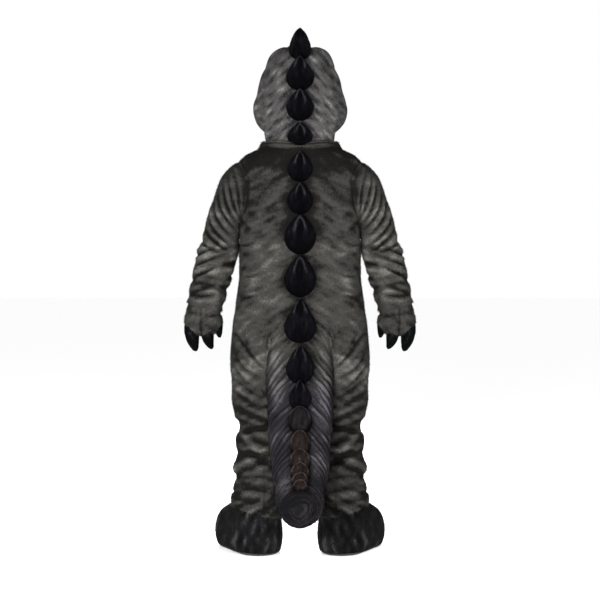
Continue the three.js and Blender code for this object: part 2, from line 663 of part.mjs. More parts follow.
// The mitt and its claws
const mittWhole = tubeFilled(mittSurface, MITT_COLUMNS, MITT_STEPS, 0);
const mittHollow = tubeFilled(mittSurface, MITT_COLUMNS, [-0.1, ...MITT_STEPS.slice(1, -2), 6.3], -CLOTH);
const mittRoom = tubeFilled(mittSurface, MITT_COLUMNS, MITT_STEPS, SEAM);
const pastCuff = [...sleeveSteps.slice(4), CUFF + 0.15];
const cuffInside = tubeFilled(sleeveSurface, SLEEVE_COLUMNS, [...pastCuff, CUFF + 0.3], -CLOTH - SEAM);
const cuffRoom = tubeFilled(sleeveSurface, SLEEVE_COLUMNS, pastCuff, SEAM).subtract(cuffInside);
const mitt = mittWhole.subtract(mittHollow).subtract(cuffRoom);
addPair('mitt', mitt, PLUSH);
for (const row of CLAWS) addPair(`claw_${row.name}`, claw(row).subtract(mittRoom), CLAW_FELT);

// The boot and its sole
addPair('boot', bootWhole.subtract(bootHollow), BOOT_PLUSH);
addPair('sole', sole, SOLE_FOAM);

// The tail and the spikes, each spike clear of the one above it
add('tail', tail, TAIL_PLUSH);
const suitAndTail = tailRoom.add(bothHalves);
const sewnTo = {
  head: headRoom.add(collarRoom).add(suitAndTail),
  back: suitAndTail.add(collarRoom),
  tail: suitAndTail,
};
SPIKES.forEach((row, i) => {
  const blunt = i >= FIRST_BLUNT;
  let made = spike(row, blunt).subtract(sewnTo[row.on]);
  if (i > 0) {
    const above = SPIKES[i - 1];
    const { wide, long, tall } = above;
    const room = { ...above, wide: wide + 2 * SEAM, long: long + 2 * SEAM, tall: tall + SEAM };
    made = made.subtract(spike(room, i - 1 >= FIRST_BLUNT));
  }
  add(row.name, made, blunt ? SCALE_VELVET : SPIKE_VELVET);
});

export default group;
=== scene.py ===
"""Looks of the raptor costume: folded plush with its pile, the foam head, the ringed tail, velvet spikes,
felt claws and boots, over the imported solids. Work is in millimetres above the floor, and goes to metres
from the shoulders as it becomes a mesh. +Z is up, -Y is the wearer's front and +X is the wearer's left."""

import math

import bpy
import numpy as np
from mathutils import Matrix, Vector


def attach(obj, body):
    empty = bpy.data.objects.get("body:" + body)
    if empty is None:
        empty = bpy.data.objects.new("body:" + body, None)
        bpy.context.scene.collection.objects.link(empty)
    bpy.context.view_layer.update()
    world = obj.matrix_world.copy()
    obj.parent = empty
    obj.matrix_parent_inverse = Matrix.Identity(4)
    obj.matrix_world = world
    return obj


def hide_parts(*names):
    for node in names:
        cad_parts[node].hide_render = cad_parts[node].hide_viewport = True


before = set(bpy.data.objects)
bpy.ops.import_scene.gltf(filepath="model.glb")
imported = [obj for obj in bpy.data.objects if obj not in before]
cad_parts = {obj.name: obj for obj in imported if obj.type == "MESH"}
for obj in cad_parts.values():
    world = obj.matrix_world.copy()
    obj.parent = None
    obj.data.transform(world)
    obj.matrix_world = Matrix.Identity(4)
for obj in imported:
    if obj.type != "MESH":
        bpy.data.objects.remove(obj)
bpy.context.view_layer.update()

SHOULDER_HEIGHT = 1440.0
CLOTH = 4.0
FOAM = 14.0
BOOT_WALL = 12.0
SOLE = 9.3
HEM_HEIGHT = 108.5
HEM_RISE = 0.27
HEM_TURNED = 17.0
SUIT_FOOT = 110
SUIT_TOP = 1480
SEAM_HALF = 0.15
LEG_GIRTH = 628
LEG_SEAM_X = 128
ARM_GIRTH = 440
MITT_SEAM_X = 358
CROTCH_HEIGHT = 665.0
HIP_HEIGHT = 745.0
HEAD_HEM = 1468.0
ARMPIT = dict(height=1108, tall=42, bulge=5)
NOSTRIL = dict(y=-385, z=1692, long=15, tall=10, deep=5, apart=14)
TAIL_COLOUR_STARTS = (560, 760)
# The painted shade's darkening per millimetre of hollow, and the painted highlight's per millimetre of
# ridge
RELIEF_SHADE_GAIN = 0.042
SEED = 7


def table(columns, *rows):
    """A table's rows as dicts, by the names of its columns."""
    return [dict(zip(columns.split(), row)) for row in rows]


# The suit's half sections: the outer seam's x, the inside leg's x, and the depths to back and front
SUIT_ROWS = table(
    "z side inner back front square",
    (110, 248, 68, 97, 97, 0.95),
    (148, 250, 65, 100, 99, 0.95),
    (182, 245, 64, 96, 96, 0.95),
    (205, 243, 61, 93, 95, 0.95),
    (227, 243, 56, 98, 99, 0.95),
    (250, 238, 56, 96, 97, 0.95),
    (272, 232, 56, 91, 93, 0.95),
    (295, 240, 50, 98, 99, 0.95),
    (318, 243, 45, 102, 102, 0.95),
    (340, 234, 47, 97, 98, 0.95),
    (361, 226, 46, 93, 95, 0.95),
    (384, 231, 40, 99, 100, 0.95),
    (406, 235, 35, 103, 105, 0.95),
    (428, 229, 36, 98, 103, 0.95),
    (450, 218, 35, 94, 100, 0.95),
    (473, 223, 29, 99, 106, 0.95),
    (500, 236, 22, 107, 112, 0.95),
    (540, 244, 16, 112, 115, 0.95),
    (600, 247, 9, 118, 120, 0.93),
    (648, 248, 2, 126, 126, 0.98),
    (665, 249, 0, 129, 128, 1.0),
    (705, 250, 0, 136, 133, 1.0),
    (763, 250, 0, 149, 143, 1.0),
    (830, 244, 0, 149, 150, 0.92),
    (900, 232, 0, 143, 156, 0.85),
    (1010, 220, 0, 137, 159, 0.85),
    (1140, 218, 0, 140, 153, 0.83),
    (1230, 223, 0, 142, 148, 0.82),
    (1320, 228, 0, 141, 141, 0.82),
    (1395, 231, 0, 137, 134, 0.84),
    (1422, 219, 0, 133, 128, 0.88),
    (1443, 188, 0, 129, 123, 0.94),
    (1458, 157, 0, 126, 119, 1.0),
    (1480, 141, 0, 123, 116, 1.0),
)
SLEEVE_ROWS = table(
    "t x y z wide deep",
    (0, 134, 0, 1356, 89, 94),
    (1, 200, 0, 1321, 92, 95),
    (2, 241, -2, 1257, 78, 90),
    (3, 270, -4, 1200, 68, 84),
    (4, 285.5, -6, 1154, 63.5, 79),
    (5, 290, -8, 1114, 65, 79),
    (6, 302, -9, 1076, 72, 82),
    (7, 311, -10, 1042, 69, 75),
    (8, 318, -12, 1008, 71, 76),
    (9, 329, -13, 975, 66, 69),
    (10, 336, -14, 942, 68, 71),
    (11, 343, -15, 912, 63, 66),
    (12, 348, -16, 892, 66, 63),
)
MITT_ROWS = table(
    "t x y z wide deep",
    (0, 342, -15, 922, 60, 58),
    (1, 348, -16, 893, 61, 57),
    (2, 351, -16, 872, 64, 55),
    (3, 352, -17, 856, 69, 55),
    (4, 352, -18, 832, 70, 51),
    (5, 351, -20, 812, 63, 43),
    (6, 350, -21, 796, 44, 31),
    (7, 350, -22, 787, 14, 11),
)
CLAWS = table(
    "name x y z tip_x tip_y tip_z wide deep",
    ("claw_1", 394, -18, 822, 382, -46, 727, 28, 33),
    ("claw_2", 337, -20, 806, 324, -44, 735, 24, 30),
    ("claw_3", 298, -22, 832, 294, -46, 777, 17, 24),
)
TAIL_ROWS = table(
    "t x y z r",
    (0, 0, 40, 800, 119),
    (1, 0, 92, 715, 121),
    (2, 0, 135, 630, 118),
    (3, 0, 180, 548, 113),
    (4, 0, 235, 468, 107),
    (5, 0, 300, 397, 101),
    (6, 0, 372, 338, 93),
    (7, 0, 450, 295, 83),
    (8, 0, 528, 270, 77),
    (9, 0, 598, 262, 66),
    (10, 0, 650, 266, 51),
    (11, 0, 682, 276, 32),
    (12, 0, 693, 281, 15),
)
HEAD_CENTRE = np.array([0.0, -60.0, 1650.0])
HEAD_BLEND = 14
HEAD_BLOBS = [
    dict(at=(0, 3, 1640), half=(127, 113, 199)),
    dict(at=(0, 6, 1560), half=(127, 104, 262)),
    dict(at=(0, -85, 1676), half=(155, 146, 158)),
    dict(at=(0, -80, 1610), half=(171, 140, 116)),
    dict(at=(0, -34, 1622), half=(148, 124, 126)),
    dict(at=(0, -215, 1672), half=(92, 186, 80)),
    dict(at=(0, -318, 1668), half=(74, 98, 66)),
    dict(at=(0, -200, 1606), half=(84, 180, 62)),
    dict(at=(60, -84, 1776), half=(56, 80, 64)),
    dict(at=(-60, -84, 1776), half=(56, 80, 64)),
]
MOUTH = dict(height=1634, slope=0.05, corner=-150, groove=7, depth=7)
EYE = dict(x=0.66, y=-0.6, z=0.42, radius=30, sunk=10)
SPIKES = table(
    "name on at wide long tall",
    ("spike_head_1", "head", 37, 80, 98, 71),
    ("spike_head_2", "head", 70, 100, 108, 74),
    ("spike_head_3", "head", 104, 98, 106, 72),
    ("spike_head_4", "head", 131, 90, 84, 62),
    ("spike_back_1", "back", 1384, 92, 98, 68),
    ("spike_back_2", "back", 1273, 94, 104, 76),
    ("spike_back_3", "back", 1146, 114, 134, 86),
    ("spike_back_4", "back", 997, 114, 140, 88),
    ("spike_back_5", "tail", 0.4, 112, 144, 82),
    ("spike_tail_1", "tail", 1.97, 98, 126, 68),
    ("spike_tail_2", "tail", 3.3, 78, 98, 56),
    ("spike_tail_3", "tail", 4.47, 77, 94, 52),
    ("spike_tail_4", "tail", 5.67, 68, 92, 47),
    ("spike_tail_5", "tail", 6.7, 69, 84, 42),
    ("spike_tail_6", "tail", 7.6, 63, 76, 35),
    ("spike_tail_7", "tail", 8.48, 56, 66, 29),
    ("spike_tail_8", "tail", 9.28, 49, 58, 24),
)
SPIKES[0]["bullet"] = True
FIRST_BLUNT = 11
BOOT = dict(x=151, y=12, turned_out=27)
BOOT_ROWS = table(
    "z heel ball reach",
    (0, 70, 76, 142),
    (9, 79, 86, 146),
    (30, 86, 95, 149),
    (70, 88, 97, 149),
    (105, 85, 90, 148),
    (132, 81, 76, 145),
    (152, 77, 56, 137),
    (166, 74, 42, 106),
    (180, 71, 52, 46),
    (198, 68, 64, 9),
    (250, 66, 65, 2),
)
COLLAR = dict(side=133, back=117, front=112, z=1470, tall=17, thick=13, dip=7)

# Folds on the wearer's left, each an arc through three points: x is across the back and z the height.
# The other side mirrors them.
ARM_FOLDS = table(
    "x0 z0 xm zm x1 z1 width depth",
    (243, 1392, 220, 1296, 216, 1206, 4.5, 8),
    (260, 1362, 243, 1276, 218, 1216, 5, 9),
    (277, 1336, 261, 1252, 222, 1192, 5.5, 9),
    (297, 1300, 281, 1234, 229, 1170, 5, 10),
    (312, 1272, 298, 1204, 240, 1146, 6, 10),
    (333, 1236, 313, 1174, 250, 1118, 5.5, 10),
    (350, 1180, 318, 1138, 256, 1094, 6.5, 11),
    (362, 1140, 330, 1106, 280, 1092, 6, 8),
)
BACK_FOLDS = table(
    "x0 z0 xm zm x1 z1 width depth",
    (122, 742, 113, 800, 46, 850, 8, 6),
    (219, 785, 176, 726, 124, 676, 6.5, 9),
    (178, 1356, 192, 1325, 200, 1290, 9, 6),
    (216, 1118, 192, 1114, 158, 1126, 5, 9),
    (214, 1008, 186, 1002, 146, 1014, 5, 9),
    (220, 931, 190, 928, 156, 936, 5, 8),
    (212, 1210, 180, 1165, 140, 1160, 14, 5),
    (208, 1260, 180, 1225, 150, 1230, 14, 4),
    (205, 1170, 170, 1140, 120, 1150, 14, 4),
    (214, 1090, 160, 1062, 100, 1080, 16, 4),
    (216, 1045, 170, 1040, 110, 1026, 14, 3),
    (160, 960, 120, 950, 80, 975, 16, 3),
    (232, 800, 205, 752, 160, 716, 7.5, 7),
    (205, 800, 180, 748, 134, 716, 7.5, 6),
    (236, 725, 200, 676, 140, 642, 8, 8),
    (238, 690, 210, 640, 150, 600, 8, 8),
    (236, 640, 190, 602, 134, 570, 8, 7),
    (236, 590, 200, 566, 140, 530, 8, 7),
)
FRONT_FOLDS = table(
    "x0 z0 xm zm x1 z1 width depth",
    (214, 1200, 180, 1160, 130, 1165, 14, 5),
    (214, 1100, 170, 1080, 110, 1100, 14, 4),
    (222, 1010, 180, 1000, 130, 1014, 12, 4),
    (232, 905, 180, 880, 120, 890, 14, 5),
    (226, 800, 150, 756, 50, 722, 13, 7),
    (230, 740, 160, 706, 60, 690, 12, 7),
    (236, 690, 170, 650, 70, 640, 12, 7),
    (200, 1400, 180, 1340, 190, 1270, 13, 4),
    (236, 620, 180, 585, 80, 590, 12, 6),
)
# Bunched cloth: the creases' levels, spread round the leg or the arm in arcs
LEG_BUNCH = dict(levels=(168, 206, 240, 278, 312, 350, 384, 424, 458, 500, 548), length=(120, 230),
                 tilt=28, bend=22, width=10.5, depth=9)
ARM_BUNCH = dict(levels=(1100, 1068, 1034, 1000, 968, 938, 908), length=(90, 170), tilt=20, bend=16,
                 width=8.5, depth=8.5)

# Pile: triangles a square centimetre, their length and width, how far they lie over
SUIT_PILE = dict(dense=8.0, long=9.5, wide=2.4, lift=0.36, stray=0.42)
HEAD_PILE = dict(dense=10.0, long=8.5, wide=2.0, lift=0.32, stray=0.5)
TAIL_PILE = dict(dense=9.0, long=8.0, wide=2.2, lift=0.32, stray=0.4)
BOOT_PILE = dict(dense=9.0, long=7.5, wide=2.2, lift=0.3, stray=0.5)
VELVET_PILE = dict(dense=12.0, long=4.5, wide=1.3, lift=0.35, stray=0.5)


# Curves and surfaces, on arrays

def curve(rows, key):
    """A smooth curve through a table: at(values) gives every other column."""
    places = np.array([row[key] for row in rows], float)
    names = [name for name in rows[0] if name != key]
    columns = {name: np.array([row[name] for row in rows], float) for name in names}
    before = np.maximum(np.arange(len(rows)) - 1, 0)
    after = np.minimum(np.arange(len(rows)) + 1, len(rows) - 1)
    span_of = places[after] - places[before]
    slopes = {name: (c[after] - c[before]) / span_of for name, c in columns.items()}

    def at(value):
        value = np.asarray(value, float)
        i = np.clip(np.searchsorted(places, value), 1, len(rows) - 1)
        span = places[i] - places[i - 1]
        u = (value - places[i - 1]) / span
        found = {}
        for name in names:
            p, q = columns[name][i - 1], columns[name][i]
            m, n = slopes[name][i - 1] * span, slopes[name][i] * span
            found[name] = p + u * (m + u * (3 * (q - p) - 2 * m - n + u * (2 * (p - q) + m + n)))
        return found

    return at


def signed_power(value, power):
    return np.sign(value) * np.abs(value) ** power


def turns(count):
    return np.arange(count) / count * 2 * np.pi


def unit(vectors):
    return vectors / np.linalg.norm(vectors, axis=-1, keepdims=True)


def smooth(value, low, high):
    u = np.clip((value - low) / (high - low), 0, 1)
    return u * u * (3 - 2 * u)


def bell(away, width):
    """1 where away is 0, fading to both sides within about twice a width."""
    return np.exp(-((away / width) ** 2))


suit_row = curve(SUIT_ROWS, "z")


def suit_surface(around, z):
    """The left half of the suit. around runs from -1 in front through 0 at the side to 1 behind."""
    around, z = np.broadcast_arrays(np.asarray(around, float), np.asarray(z, float))
    row = suit_row(z)
    under = np.clip((HIP_HEIGHT - z) / (HIP_HEIGHT - CROTCH_HEIGHT), 0, 1)
    wrap = np.pi / 2 + np.arcsin(under)
    reach = signed_power(np.cos(wrap), row["square"])
    half = (row["side"] - row["inner"]) / (1 - reach)
    depth = np.where(around >= 0, row["back"], row["front"])
    x = row["side"] - half + half * signed_power(np.cos(around * wrap), row["square"])
    y = depth * signed_power(np.sin(around * wrap), row["square"])
    return np.stack([x, y, z], -1)


def tube(rows):
    row_at = curve(rows, "t")

    def surface(around, t):
        around, t = np.broadcast_arrays(np.asarray(around, float), np.asarray(t, float))
        here, ahead = row_at(t), row_at(t + 0.01)
        axis = unit(np.stack([ahead[k] - here[k] for k in "xyz"], -1))
        sideways = unit(np.array([1.0, 0, 0]) - axis * axis[..., :1])
        across = np.cross(sideways, axis)
        angle = (around * 2 * np.pi)[..., None]
        wide = here.get("wide", here.get("r"))[..., None]
        deep = here.get("deep", here.get("r"))[..., None]
        centre = np.stack([here[k] for k in "xyz"], -1)
        return centre + sideways * np.cos(angle) * wide + across * np.sin(angle) * deep

    return surface


sleeve_surface = tube(SLEEVE_ROWS)
mitt_surface = tube(MITT_ROWS)
tail_surface = tube(TAIL_ROWS)


def head_reach(direction, inset=0.0):
    """How far the head's surface, drawn in by an inset, lies from HEAD_CENTRE in each direction."""
    total = 0.0
    for blob in HEAD_BLOBS:
        size = np.array(blob["half"], float) - inset
        start = (HEAD_CENTRE - np.array(blob["at"], float)) / size
        ray = direction / size
        a = (ray**2).sum(-1)
        b = ray @ start
        free = b * b - a * (start @ start - 1)
        far = np.where(free > 0, (-b + np.sqrt(np.maximum(free, 0))) / a, 0)
        total = total + (np.maximum(far, 0) * smooth(free / a, 0, 0.3)) ** HEAD_BLEND
    return total ** (1 / HEAD_BLEND)


def spine(on, at):
    """A point of the middle line, its normal and the way up along the line."""
    def place(value):
        if on == "head":
            angle = math.radians(value)
            direction = np.array([0.0, math.sin(angle), math.cos(angle)])
            return HEAD_CENTRE + direction * head_reach(direction)
        if on == "back":
            return suit_surface(1.0, value) * [0, 1, 1]
        return tail_surface(0.25, value)

    step = {"head": 1.0, "back": -5.0, "tail": 0.02}[on]
    up = place(at - step) - place(at + step)
    up /= np.linalg.norm(up)
    normal = np.cross(up, [1.0, 0, 0])
    if normal[1] + normal[2] < 0:
        normal = -normal
    return place(at), normal, up


def spike_shadow(points):
    """1 at the feet of the spikes, fading away from them: a painted shadow darkens the pile there."""
    total = np.zeros(points.shape[:-1])
    for row in SPIKES:
        point, normal, up = spine(row["on"], row["at"])
        away = points - point
        across = away[..., 0] / (row["wide"] / 2)
        along = away @ up / (row["long"] / 2)
        near = np.abs(away @ normal) < 90
        total = np.maximum(total, near * (1 - smooth(np.hypot(across, along), 0.9, 1.6)))
    return total


def noise(points, size, seed, octaves=3):
    """Soft noise from -1 to 1: sums of waves in directions drawn from a seed."""
    rng = np.random.default_rng(seed)
    total = np.zeros(points.shape[:-1])
    for octave in range(octaves):
        for _ in range(6):
            way = rng.normal(size=3)
            way *= 2 * np.pi / (size * 0.55**octave * np.linalg.norm(way) * rng.uniform(0.7, 1.4))
            total += 0.5**octave * np.sin(points @ way + rng.uniform(0, 6.28))
    return total / 4.2


def crease(px, pz, row):
    """A fold along an arc: a trough with a low ridge to each side, fading at its ends."""
    u = np.linspace(0, 1, 9)
    ax, az = ((1 - u) * (1 - 2 * u) * row[k + "0"] + 4 * u * (1 - u) * row[k + "m"]
              + u * (2 * u - 1) * row[k + "1"] for k in "xz")
    best = np.full(px.shape, 1e9)
    place = np.zeros(px.shape)
    for k in range(8):
        dx, dz = ax[k + 1] - ax[k], az[k + 1] - az[k]
        along = np.clip(((px - ax[k]) * dx + (pz - az[k]) * dz) / (dx * dx + dz * dz), 0, 1)
        away = np.hypot(px - ax[k] - along * dx, pz - az[k] - along * dz)
        place = np.where(away < best, (k + along) / 8, place)
        best = np.minimum(best, away)
    fade = np.clip(np.sin(np.pi * np.clip(place, 0.02, 0.98)), 0, 1) ** 0.6
    width = row["width"]
    ridge = 0.35 * bell(best - 1.75 * width, 0.9 * width)
    trough = 0.8 * bell(best, width) + 0.3 * bell(best, 0.38 * width)
    return row["depth"] * fade * (ridge - trough)


def creases(px, pz, rows):
    return sum(crease(px, pz, row) for row in rows)


def bunches(across, z, girth, plan, seed):
    """Folds of bunched cloth on an unrolled tube of a given girth."""
    rng = np.random.default_rng(seed)
    rows = []
    for level in plan["levels"]:
        start = rng.uniform(0, girth)
        covered = 0.0
        while covered < girth * 0.92:
            length = rng.uniform(*plan["length"])
            lean = math.tan(math.radians(rng.uniform(-plan["tilt"], plan["tilt"])))
            middle = level + rng.uniform(-7, 7)
            at = start + covered + length / 2
            rows.append(dict(x0=at - length / 2, z0=middle - lean * length / 2, xm=at,
                             zm=middle + rng.uniform(-1, 1) * plan["bend"], x1=at + length / 2,
                             z1=middle + lean * length / 2, width=plan["width"] * rng.uniform(0.75, 1.3),
                             depth=plan["depth"] * rng.uniform(0.45, 1.15)))
            covered += length * rng.uniform(0.72, 1.0)
    total = np.zeros(across.shape)
    for row in rows:
        for shift in (-girth, 0, girth):
            moved = {**row, **{k: row[k] + shift for k in ("x0", "xm", "x1")}}
            low, high = moved["x0"] - 60, moved["x1"] + 60
            if high > across.min() and low < across.max():
                total += crease(across, z, moved)
    return total


# Meshes

def grid_normals(points, closed, turn):
    """Normals of a grid of points, rows by columns. closed joins the last column to the first."""
    rows = np.gradient(points, axis=0)
    if closed:
        wide = np.concatenate([points[:, -1:], points, points[:, :1]], 1)
        columns = (wide[:, 2:] - wide[:, :-2]) / 2
    else:
        columns = np.gradient(points, axis=1)
    normal = np.cross(columns, rows) * turn
    length = np.linalg.norm(normal, axis=-1, keepdims=True)
    return normal / np.maximum(length, 1e-9)


def grid_faces(rows, columns, closed, first=0):
    i, j = np.meshgrid(np.arange(rows - 1), np.arange(columns if closed else columns - 1), indexing="ij")
    k = (j + 1) % columns
    quad = np.stack([i * columns + j, i * columns + k, (i + 1) * columns + k, (i + 1) * columns + j], -1)
    return first + quad.reshape(-1, 4)


def put(name, data):
    thing = bpy.data.objects.new(name, data)
    bpy.context.scene.collection.objects.link(thing)
    return thing


def to_metres(points):
    return (np.asarray(points, float) - [0, 0, SHOULDER_HEIGHT]) * 0.001


class Piece:
    """Points, faces and per-point values gathered for one mesh."""

    def __init__(self):
        self.points, self.normals, self.worn, self.faces = [], [], [], []
        self.count = 0

    def add(self, points, normals, worn, *faces):
        """Adds faces over points. They all turn round if the first group faces against its normals."""
        points = points.reshape(-1, 3)
        normals = np.broadcast_to(normals, points.shape) if normals.ndim == 1 else normals.reshape(-1, 3)
        first = faces[0][:: max(1, len(faces[0]) // 400)]
        corner, second, third = (points[first[:, k]] for k in range(3))
        facing = np.cross(second - corner, third - corner)
        turned = (facing * normals[first[:, 0]]).sum() < 0
        self.points.append(points)
        self.normals.append(normals)
        self.worn.append(np.broadcast_to(np.asarray(worn, float).reshape(-1), (len(points),)))
        self.faces += [(group[:, ::-1] if turned else group) + self.count for group in faces]
        self.count += len(points)

    def build(self, name, material, mirror):
        points = to_metres(np.concatenate(self.points))
        normals = np.concatenate(self.normals).copy()
        if mirror:
            points[:, 0] *= -1
            normals[:, 0] *= -1
        faces = [group[:, ::-1] if mirror else group for group in self.faces]
        mesh = bpy.data.meshes.new(name)
        sizes = np.concatenate([np.full(len(group), group.shape[1]) for group in faces])
        corners = np.concatenate([group.reshape(-1) for group in faces]).astype(np.int32)
        mesh.vertices.add(len(points))
        mesh.vertices.foreach_set("co", points.reshape(-1).astype(np.float32))
        mesh.loops.add(len(corners))
        mesh.loops.foreach_set("vertex_index", corners)
        mesh.polygons.add(len(sizes))
        starts = np.concatenate([[0], np.cumsum(sizes)[:-1]]).astype(np.int32)
        mesh.polygons.foreach_set("loop_start", starts)
        mesh.update(calc_edges=True)
        mesh.polygons.foreach_set("use_smooth", np.ones(len(sizes), bool))
        # A per-point tone for the material: random tone with painted shade in hollows and painted
        # highlights on ridges.
        worn = mesh.attributes.new("worn", "FLOAT", "POINT")
        worn.data.foreach_set("value", np.concatenate(self.worn).astype(np.float32))
        mesh.materials.append(material)
        mesh.normals_split_custom_set_from_vertices(normals)
        return put(name, mesh)


def rim(outside, inside, backwards):
    """Triangles between a fine edge and the coarser one inside it, given point for point."""
    a, b, qa, qb = outside[:-1], outside[1:], inside[:-1], inside[1:]
    fans = np.stack([a, b, qa], -1)
    steps = np.stack([b, qb, qa], -1)[qa != qb]
    made = np.concatenate([fans, steps])
    return made[:, ::-1] if backwards else made


def fan(ring, tip):
    return np.stack([ring, np.roll(ring, -1), np.full(len(ring), tip)], -1)


def shell(piece, outer, normals, worn, closed, thickness, coarse=3, tipped=False):
    """A wall: the outer grid, a coarser inner one a thickness inside it, and rims that join them.
    A tipped one runs to a point past its last row."""
    rows, columns = outer.shape[:2]
    worn = np.broadcast_to(worn, (rows, columns))
    i = np.unique(np.append(np.arange(0, rows, coarse), rows - 1))
    j = np.arange(0, columns, coarse)
    if not closed:
        j = np.unique(np.append(j, columns - 1))
    inner = outer[np.ix_(i, j)] - normals[np.ix_(i, j)] * thickness
    start = rows * columns
    numbers = np.arange(start).reshape(rows, columns)
    deep = start + np.arange(len(i) * len(j)).reshape(len(i), len(j))
    of_row = np.searchsorted(i, np.arange(rows), side="right") - 1
    of_column = np.searchsorted(j, np.arange(columns), side="right") - 1
    points = [outer.reshape(-1, 3), inner.reshape(-1, 3)]
    facing = [normals.reshape(-1, 3), -normals[np.ix_(i, j)].reshape(-1, 3)]
    shade = [worn.reshape(-1), worn[np.ix_(i, j)].reshape(-1) * 0.4]
    faces = [grid_faces(rows, columns, closed), grid_faces(len(i), len(j), closed, start)[:, ::-1]]
    for row, end in ((0, True), (-1, False)):
        if row == -1 and tipped:
            continue
        out, back = numbers[row], deep[row][of_column]
        if closed:
            out, back = np.append(out, out[0]), np.append(back, back[0])
        faces.append(rim(out, back, end))
    if not closed:
        faces.append(rim(numbers[:, 0], deep[of_row, 0], False))
        faces.append(rim(numbers[:, -1], deep[of_row, -1], True))
    if tipped:
        tips = np.stack([outer[-1].mean(0), inner[-1].mean(0)])
        way = normals[-1].mean(0)
        points.append(tips)
        facing.append(np.stack([way, -way]))
        shade.append(np.full(2, worn[-1].mean()))
        last = start + deep.size
        faces += [fan(numbers[-1], last), fan(deep[-1], last + 1)[:, ::-1]]
    piece.add(np.concatenate(points), np.concatenate(facing), np.concatenate(shade), *faces)


def capped(piece, outer, normals, worn, way):
    """A closed grid of rings with a tip over its last one."""
    rows, columns = outer.shape[:2]
    points = np.concatenate([outer.reshape(-1, 3), outer[-1].mean(0)[None]])
    facing = np.concatenate([normals.reshape(-1, 3), np.asarray(way, float)[None]])
    worn = np.broadcast_to(worn, (rows, columns)).reshape(-1)
    piece.add(points, facing, np.append(worn, worn[-columns:].mean()), grid_faces(rows, columns, True),
              fan(np.arange((rows - 1) * columns, rows * columns), rows * columns))


def pile(piece, outer, normals, worn, closed, plan, comb, seed, keep=None):
    """Blades of pile over a grid: one triangle each, lying along comb and lifted off the surface."""
    rng = np.random.default_rng(seed)
    rows, columns = outer.shape[:2]
    quads = grid_faces(rows, columns, closed)
    flat, flat_normals = outer.reshape(-1, 3), normals.reshape(-1, 3)
    flat_worn = np.asarray(worn, float).reshape(-1)
    a, b, c, d = (flat[quads[:, k]] for k in range(4))
    area = 0.5 * np.linalg.norm(np.cross(c - a, d - b), axis=-1) / 100.0
    if keep is not None:
        area = area * keep((a + b + c + d) / 4)
    count = int(area.sum() * plan["dense"])
    chosen = np.searchsorted(np.cumsum(area) / area.sum(), rng.uniform(size=count))
    chosen = np.minimum(chosen, len(quads) - 1)
    u, v = rng.uniform(size=(2, count, 1))
    q = quads[chosen]

    def spread(values):
        first = values[q[:, 0]] * (1 - u) + values[q[:, 1]] * u
        second = values[q[:, 3]] * (1 - u) + values[q[:, 2]] * u
        return first * (1 - v) + second * v

    root = spread(flat)
    normal = unit(spread(flat_normals))
    tone = spread(flat_worn[:, None])[:, 0]
    way = comb(root) + plan["stray"] * rng.normal(size=(count, 3))
    way -= normal * (way * normal).sum(-1, keepdims=True)
    way /= np.maximum(np.linalg.norm(way, axis=-1, keepdims=True), 1e-9)
    side = np.cross(way, normal)
    length = plan["long"] * rng.uniform(0.55, 1.15, (count, 1))
    half = plan["wide"] / 2 * rng.uniform(0.7, 1.3, (count, 1))
    lift = plan["lift"] * rng.uniform(0.5, 1.5, (count, 1))
    tip = root + way * length + normal * (length * lift)
    foot = root - normal * 0.6
    points = np.stack([foot - side * half, foot + side * half, tip], 1)
    shade = normal + way * 0.22 * rng.uniform(-0.4, 1.6, (count, 1)) + 0.12 * rng.normal(size=(count, 3))
    shade = unit(shade)
    tone = tone + rng.normal(scale=0.06, size=count)
    ends = np.stack([tone - 0.10, tone - 0.10, tone + 0.10], 1)
    faces = np.arange(count * 3).reshape(-1, 3)
    piece.add(points, np.repeat(shade[:, None], 3, 1), ends, faces)


def downward(points):
    return np.broadcast_to(np.array([0.0, 0.0, -1.0]), points.shape)


def clothed(surface, closed, thickness, plan, comb, seed, keep=None, tipped=False):
    """A cloth wall over a surface's points, normals and tones, which carry painted shade and highlights,
    and the pile on it.
    """
    piece, nap = Piece(), Piece()
    shell(piece, *surface, closed, thickness, tipped=tipped)
    pile(nap, *surface, closed, plan, comb, seed, keep)
    return piece, nap


def stuffed(surface, way, plan, comb, seed):
    """A filled form over a surface that ends in a tip, and the pile on it."""
    piece, nap = Piece(), Piece()
    capped(piece, *surface, way)
    pile(nap, *surface, True, plan, comb, seed)
    return piece, nap


# Materials

BROAD_TONE = 0.85


def principled(name):
    material = bpy.data.materials.new(name)
    material.use_nodes = True
    tree = material.node_tree
    shader = tree.nodes["Principled BSDF"]
    return material, tree, shader


def fill(node, **values):
    """Sets a node's inputs. An underscore in a name stands for a space."""
    for name, value in values.items():
        node.inputs[name.replace("_", " ")].default_value = value
    return node


def link(tree, source, target):
    tree.links.new(source, target)


def noise_node(tree, scale, detail, stretch=(1.0, 1.0, 1.0)):
    place = tree.nodes.new("ShaderNodeTexCoord")
    mapping = fill(tree.nodes.new("ShaderNodeMapping"), Scale=stretch)
    texture = fill(tree.nodes.new("ShaderNodeTexNoise"), Scale=scale, Detail=detail)
    link(tree, place.outputs["Object"], mapping.inputs["Vector"])
    link(tree, mapping.outputs["Vector"], texture.inputs["Vector"])
    return texture


def ramp_node(tree, source, stops):
    ramp = tree.nodes.new("ShaderNodeValToRGB")
    ramp.color_ramp.interpolation = "EASE"
    while len(ramp.color_ramp.elements) < len(stops):
        ramp.color_ramp.elements.new(0.5)
    for element, (place, colour) in zip(ramp.color_ramp.elements, stops):
        element.position = place
        element.color = (*colour, 1.0)
    link(tree, source, ramp.inputs["Fac"])
    return ramp


